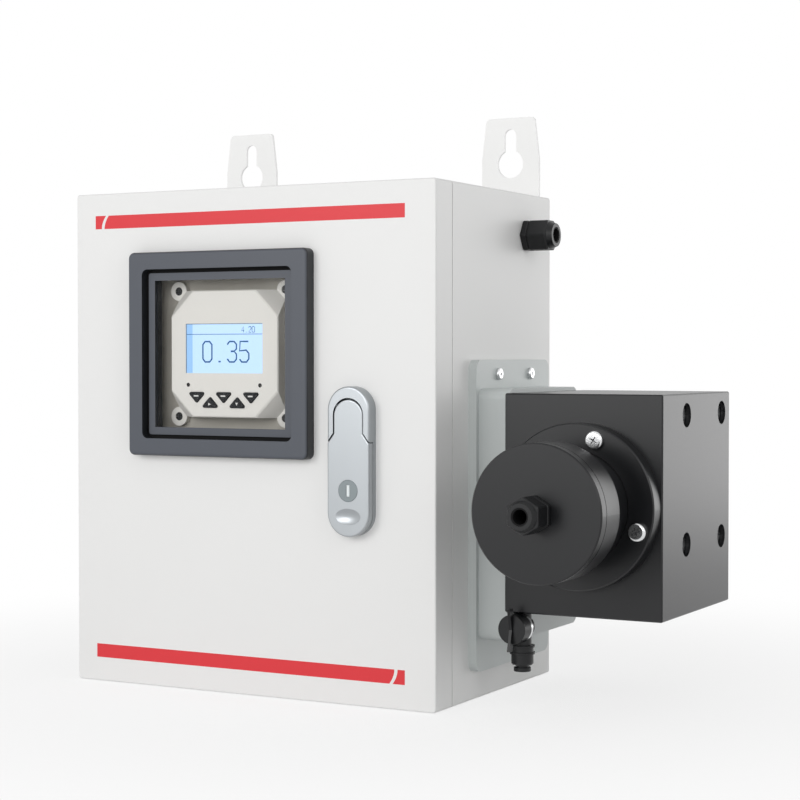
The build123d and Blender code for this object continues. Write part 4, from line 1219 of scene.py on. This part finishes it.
@dataclass
class Studio:
    """Floor, lamps, world and camera of the photograph.

    Attributes:
        floor_z: height of the floor.
        floor_size: side length of the floor.
        floor_colour: its colour in sRGB hex.
        camera_place: camera position in metres.
        camera_turn: camera rotation in degrees about X, Y and Z.
        lens: focal length in millimetres on a 36 mm sensor.
        ambient: strength of the surroundings for light that isn't seen directly.
        shadow_middle: point (X, Y) from which the shadow on the floor fades.
        shadow_share: weight of that shadow where it is full.
        shadow_full: distance up to which it is full.
        shadow_reach: distance at which it has faded.
        aim: point that every lamp faces.
        lamps: the lamps.
    """

    floor_z: float = -0.4305
    floor_size: float = 12.0
    floor_colour: str = "#f2f2f2"
    camera_place: Place = (0.8106, -1.4678, -0.1626)
    camera_turn: Place = (88.668, 0.0, 28.234)
    lens: float = 85.33
    ambient: float = 0.46
    shadow_middle: tuple[float, float] = (0.08, -0.12)
    shadow_share: float = 0.24
    shadow_full: float = 0.2
    shadow_reach: float = 0.75
    aim: Place = (0.05, -0.15, -0.22)
    lamps: tuple[Lamp, ...] = (
        Lamp("key_lamp", (-0.72, -2.4, 0.42), size=1.15, power=17.0),
        Lamp("front_lamp", (0.75, -2.6, 0.6), size=1.2, power=12.0),
        Lamp("side_lamp", (2.3, -1.0, 0.7), size=1.2, power=6.0),
        Lamp("back_lamp", (1.15, 1.75, 0.15), size=1.3, power=9.5),
    )

    def seen(self, tree: NodeTree) -> NodeSocket:
        """Make a mask of the rays that see the background: camera, glossy and transmitted ones.

        Args:
            tree: tree that gets the nodes.

        Returns:
            Output socket that is 1 for those rays.
        """
        path = add_node(tree, "LightPath")
        glossy = add_node(
            tree,
            "Math",
            {"operation": "MAXIMUM"},
            links={0: path.outputs["Is Camera Ray"], 1: path.outputs["Is Glossy Ray"]},
        )
        both = add_node(
            tree,
            "Math",
            {"operation": "MAXIMUM"},
            links={0: glossy.outputs["Value"], 1: path.outputs["Is Transmission Ray"]},
        )
        return both.outputs["Value"]

    def world(self) -> None:
        """Set a white world for what is seen and a dimmer one for what lights the meter."""
        world = bpy.data.worlds.new("studio")
        tree = empty_tree(world)
        strength = add_node(
            tree,
            "MapRange",
            values={"To Min": self.ambient, "To Max": 1.0},
            links={"Value": self.seen(tree)},
        )
        sky = add_node(
            tree,
            "Background",
            values={"Color": (1.0, 1.0, 1.0, 1.0)},
            links={"Strength": strength.outputs["Result"]},
        )
        add_node(tree, "OutputWorld", links={"Surface": sky.outputs["Background"]})
        bpy.context.scene.world = world

    def floor(self) -> None:
        """Lay a pale floor that keeps a light shadow and merges with the white background."""
        deselect()
        bpy.ops.mesh.primitive_plane_add(
            size=self.floor_size, location=(0.0, 0.0, self.floor_z)
        )
        floor = bpy.context.object
        floor.name = "floor"
        apply_place(floor)
        material = bpy.data.materials.new("pale_studio_floor")
        tree = empty_tree(material)
        seen = self.seen(tree)
        place = add_node(tree, "TexCoord")
        distance = add_node(
            tree,
            "VectorMath",
            settings={"operation": "DISTANCE"},
            values={1: (*self.shadow_middle, self.floor_z)},
            links={0: place.outputs["Object"]},
        )
        near = add_node(
            tree,
            "MapRange",
            settings={"interpolation_type": "SMOOTHSTEP"},
            values={
                "From Min": self.shadow_full,
                "From Max": self.shadow_reach,
                "To Min": self.shadow_share,
                "To Max": 0.0,
            },
            links={"Value": distance.outputs["Value"]},
        )
        share = add_node(
            tree,
            "MapRange",
            values={"To Min": 1.0},
            links={"Value": seen, "To Max": near.outputs["Result"]},
        )
        clear = add_node(tree, "BsdfTransparent")
        colour = linear(self.floor_colour)
        paint = add_node(tree, "BsdfDiffuse", values={"Color": colour})
        mix = add_node(
            tree,
            "MixShader",
            links={0: share.outputs["Result"], 1: clear.outputs["BSDF"], 2: paint.outputs["BSDF"]},
        )
        add_node(tree, "OutputMaterial", links={"Surface": mix.outputs["Shader"]})
        floor.data.materials.append(material)

    def camera(self) -> None:
        """Place the camera as it stood for the photograph."""
        data = bpy.data.cameras.new("camera")
        data.lens = self.lens
        camera = bpy.data.objects.new("camera", data)
        bpy.context.scene.collection.objects.link(camera)
        camera.location = self.camera_place
        camera.rotation_euler = [math.radians(a) for a in self.camera_turn]
        bpy.context.scene.camera = camera

    def build(self) -> None:
        """Set up everything round the meter."""
        self.world()
        self.floor()
        self.camera()
        for lamp in self.lamps:
            lamp.hang(self.aim)
        bpy.context.scene.view_settings.view_transform = "Standard"


def ring_places(centre: Place, radius: float, first: float) -> list[Place]:
    """List four places on an upright circle that faces the front.

    Args:
        centre: circle centre in millimetres.
        radius: circle radius.
        first: angle of the first place in degrees.

    Returns:
        The places.
    """
    angles = [math.radians(first + 90 * k) for k in range(4)]
    return [
        (centre[0] + radius * math.cos(a), centre[1], centre[2] + radius * math.sin(a))
        for a in angles
    ]


def main() -> None:
    """Dress the CAD nodes, add the printed trim and set up the studio."""
    logging.basicConfig(level=logging.INFO, format="%(name)s: %(message)s")
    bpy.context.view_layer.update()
    finishes = Finishes()
    materials = {f.name: getattr(finishes, f.name).material() for f in fields(finishes)}
    CadDressing().build(materials)
    DoorStripes().build(materials["red_ink"])
    DisplayPicture().build(materials["segments"])
    ThumbDish().build(materials["lock"])
    KeyShutter().build(materials["shutter"])
    prints = [
        KeyPrint("key_exit", Body.KEY_EXIT, KeyMark.BAR, 1.2),
        KeyPrint("key_up", Body.KEY_UP, KeyMark.ARROW_RIGHT, -1.3),
        KeyPrint("key_menu", Body.KEY_MENU, KeyMark.BAR, 1.2),
        KeyPrint("key_down", Body.KEY_DOWN, KeyMark.ARROW_DOWN, -1.0),
        KeyPrint("key_enter", Body.KEY_ENTER, KeyMark.BAR, 1.2),
    ]
    for mark in prints:
        mark.build(materials["white_ink"])
    flange_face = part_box("flange_screws")[0][1] / MM - CLEARANCE
    flange_centre = (FLANGE_AXIS[0], flange_face, FLANGE_AXIS[1])
    ScrewRecesses(
        "flange_screws",
        faces=Vector((0, -1, 0)),
        places=ring_places(flange_centre, FLANGE_CIRCLE, FLANGE_FIRST),
        reach=6.4,
        arm=0.9,
    ).build(materials["recess"])
    bracket_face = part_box("bracket_screws")[1][0] / MM + CLEARANCE
    ScrewRecesses(
        "bracket_screws",
        faces=Vector((1, 0, 0)),
        places=[(bracket_face, y, z) for y, z in BRACKET_SCREWS],
        reach=4.6,
        arm=0.8,
    ).build(materials["recess"])
    Studio().build()
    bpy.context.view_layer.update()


if __name__ == "__main__":
    main()
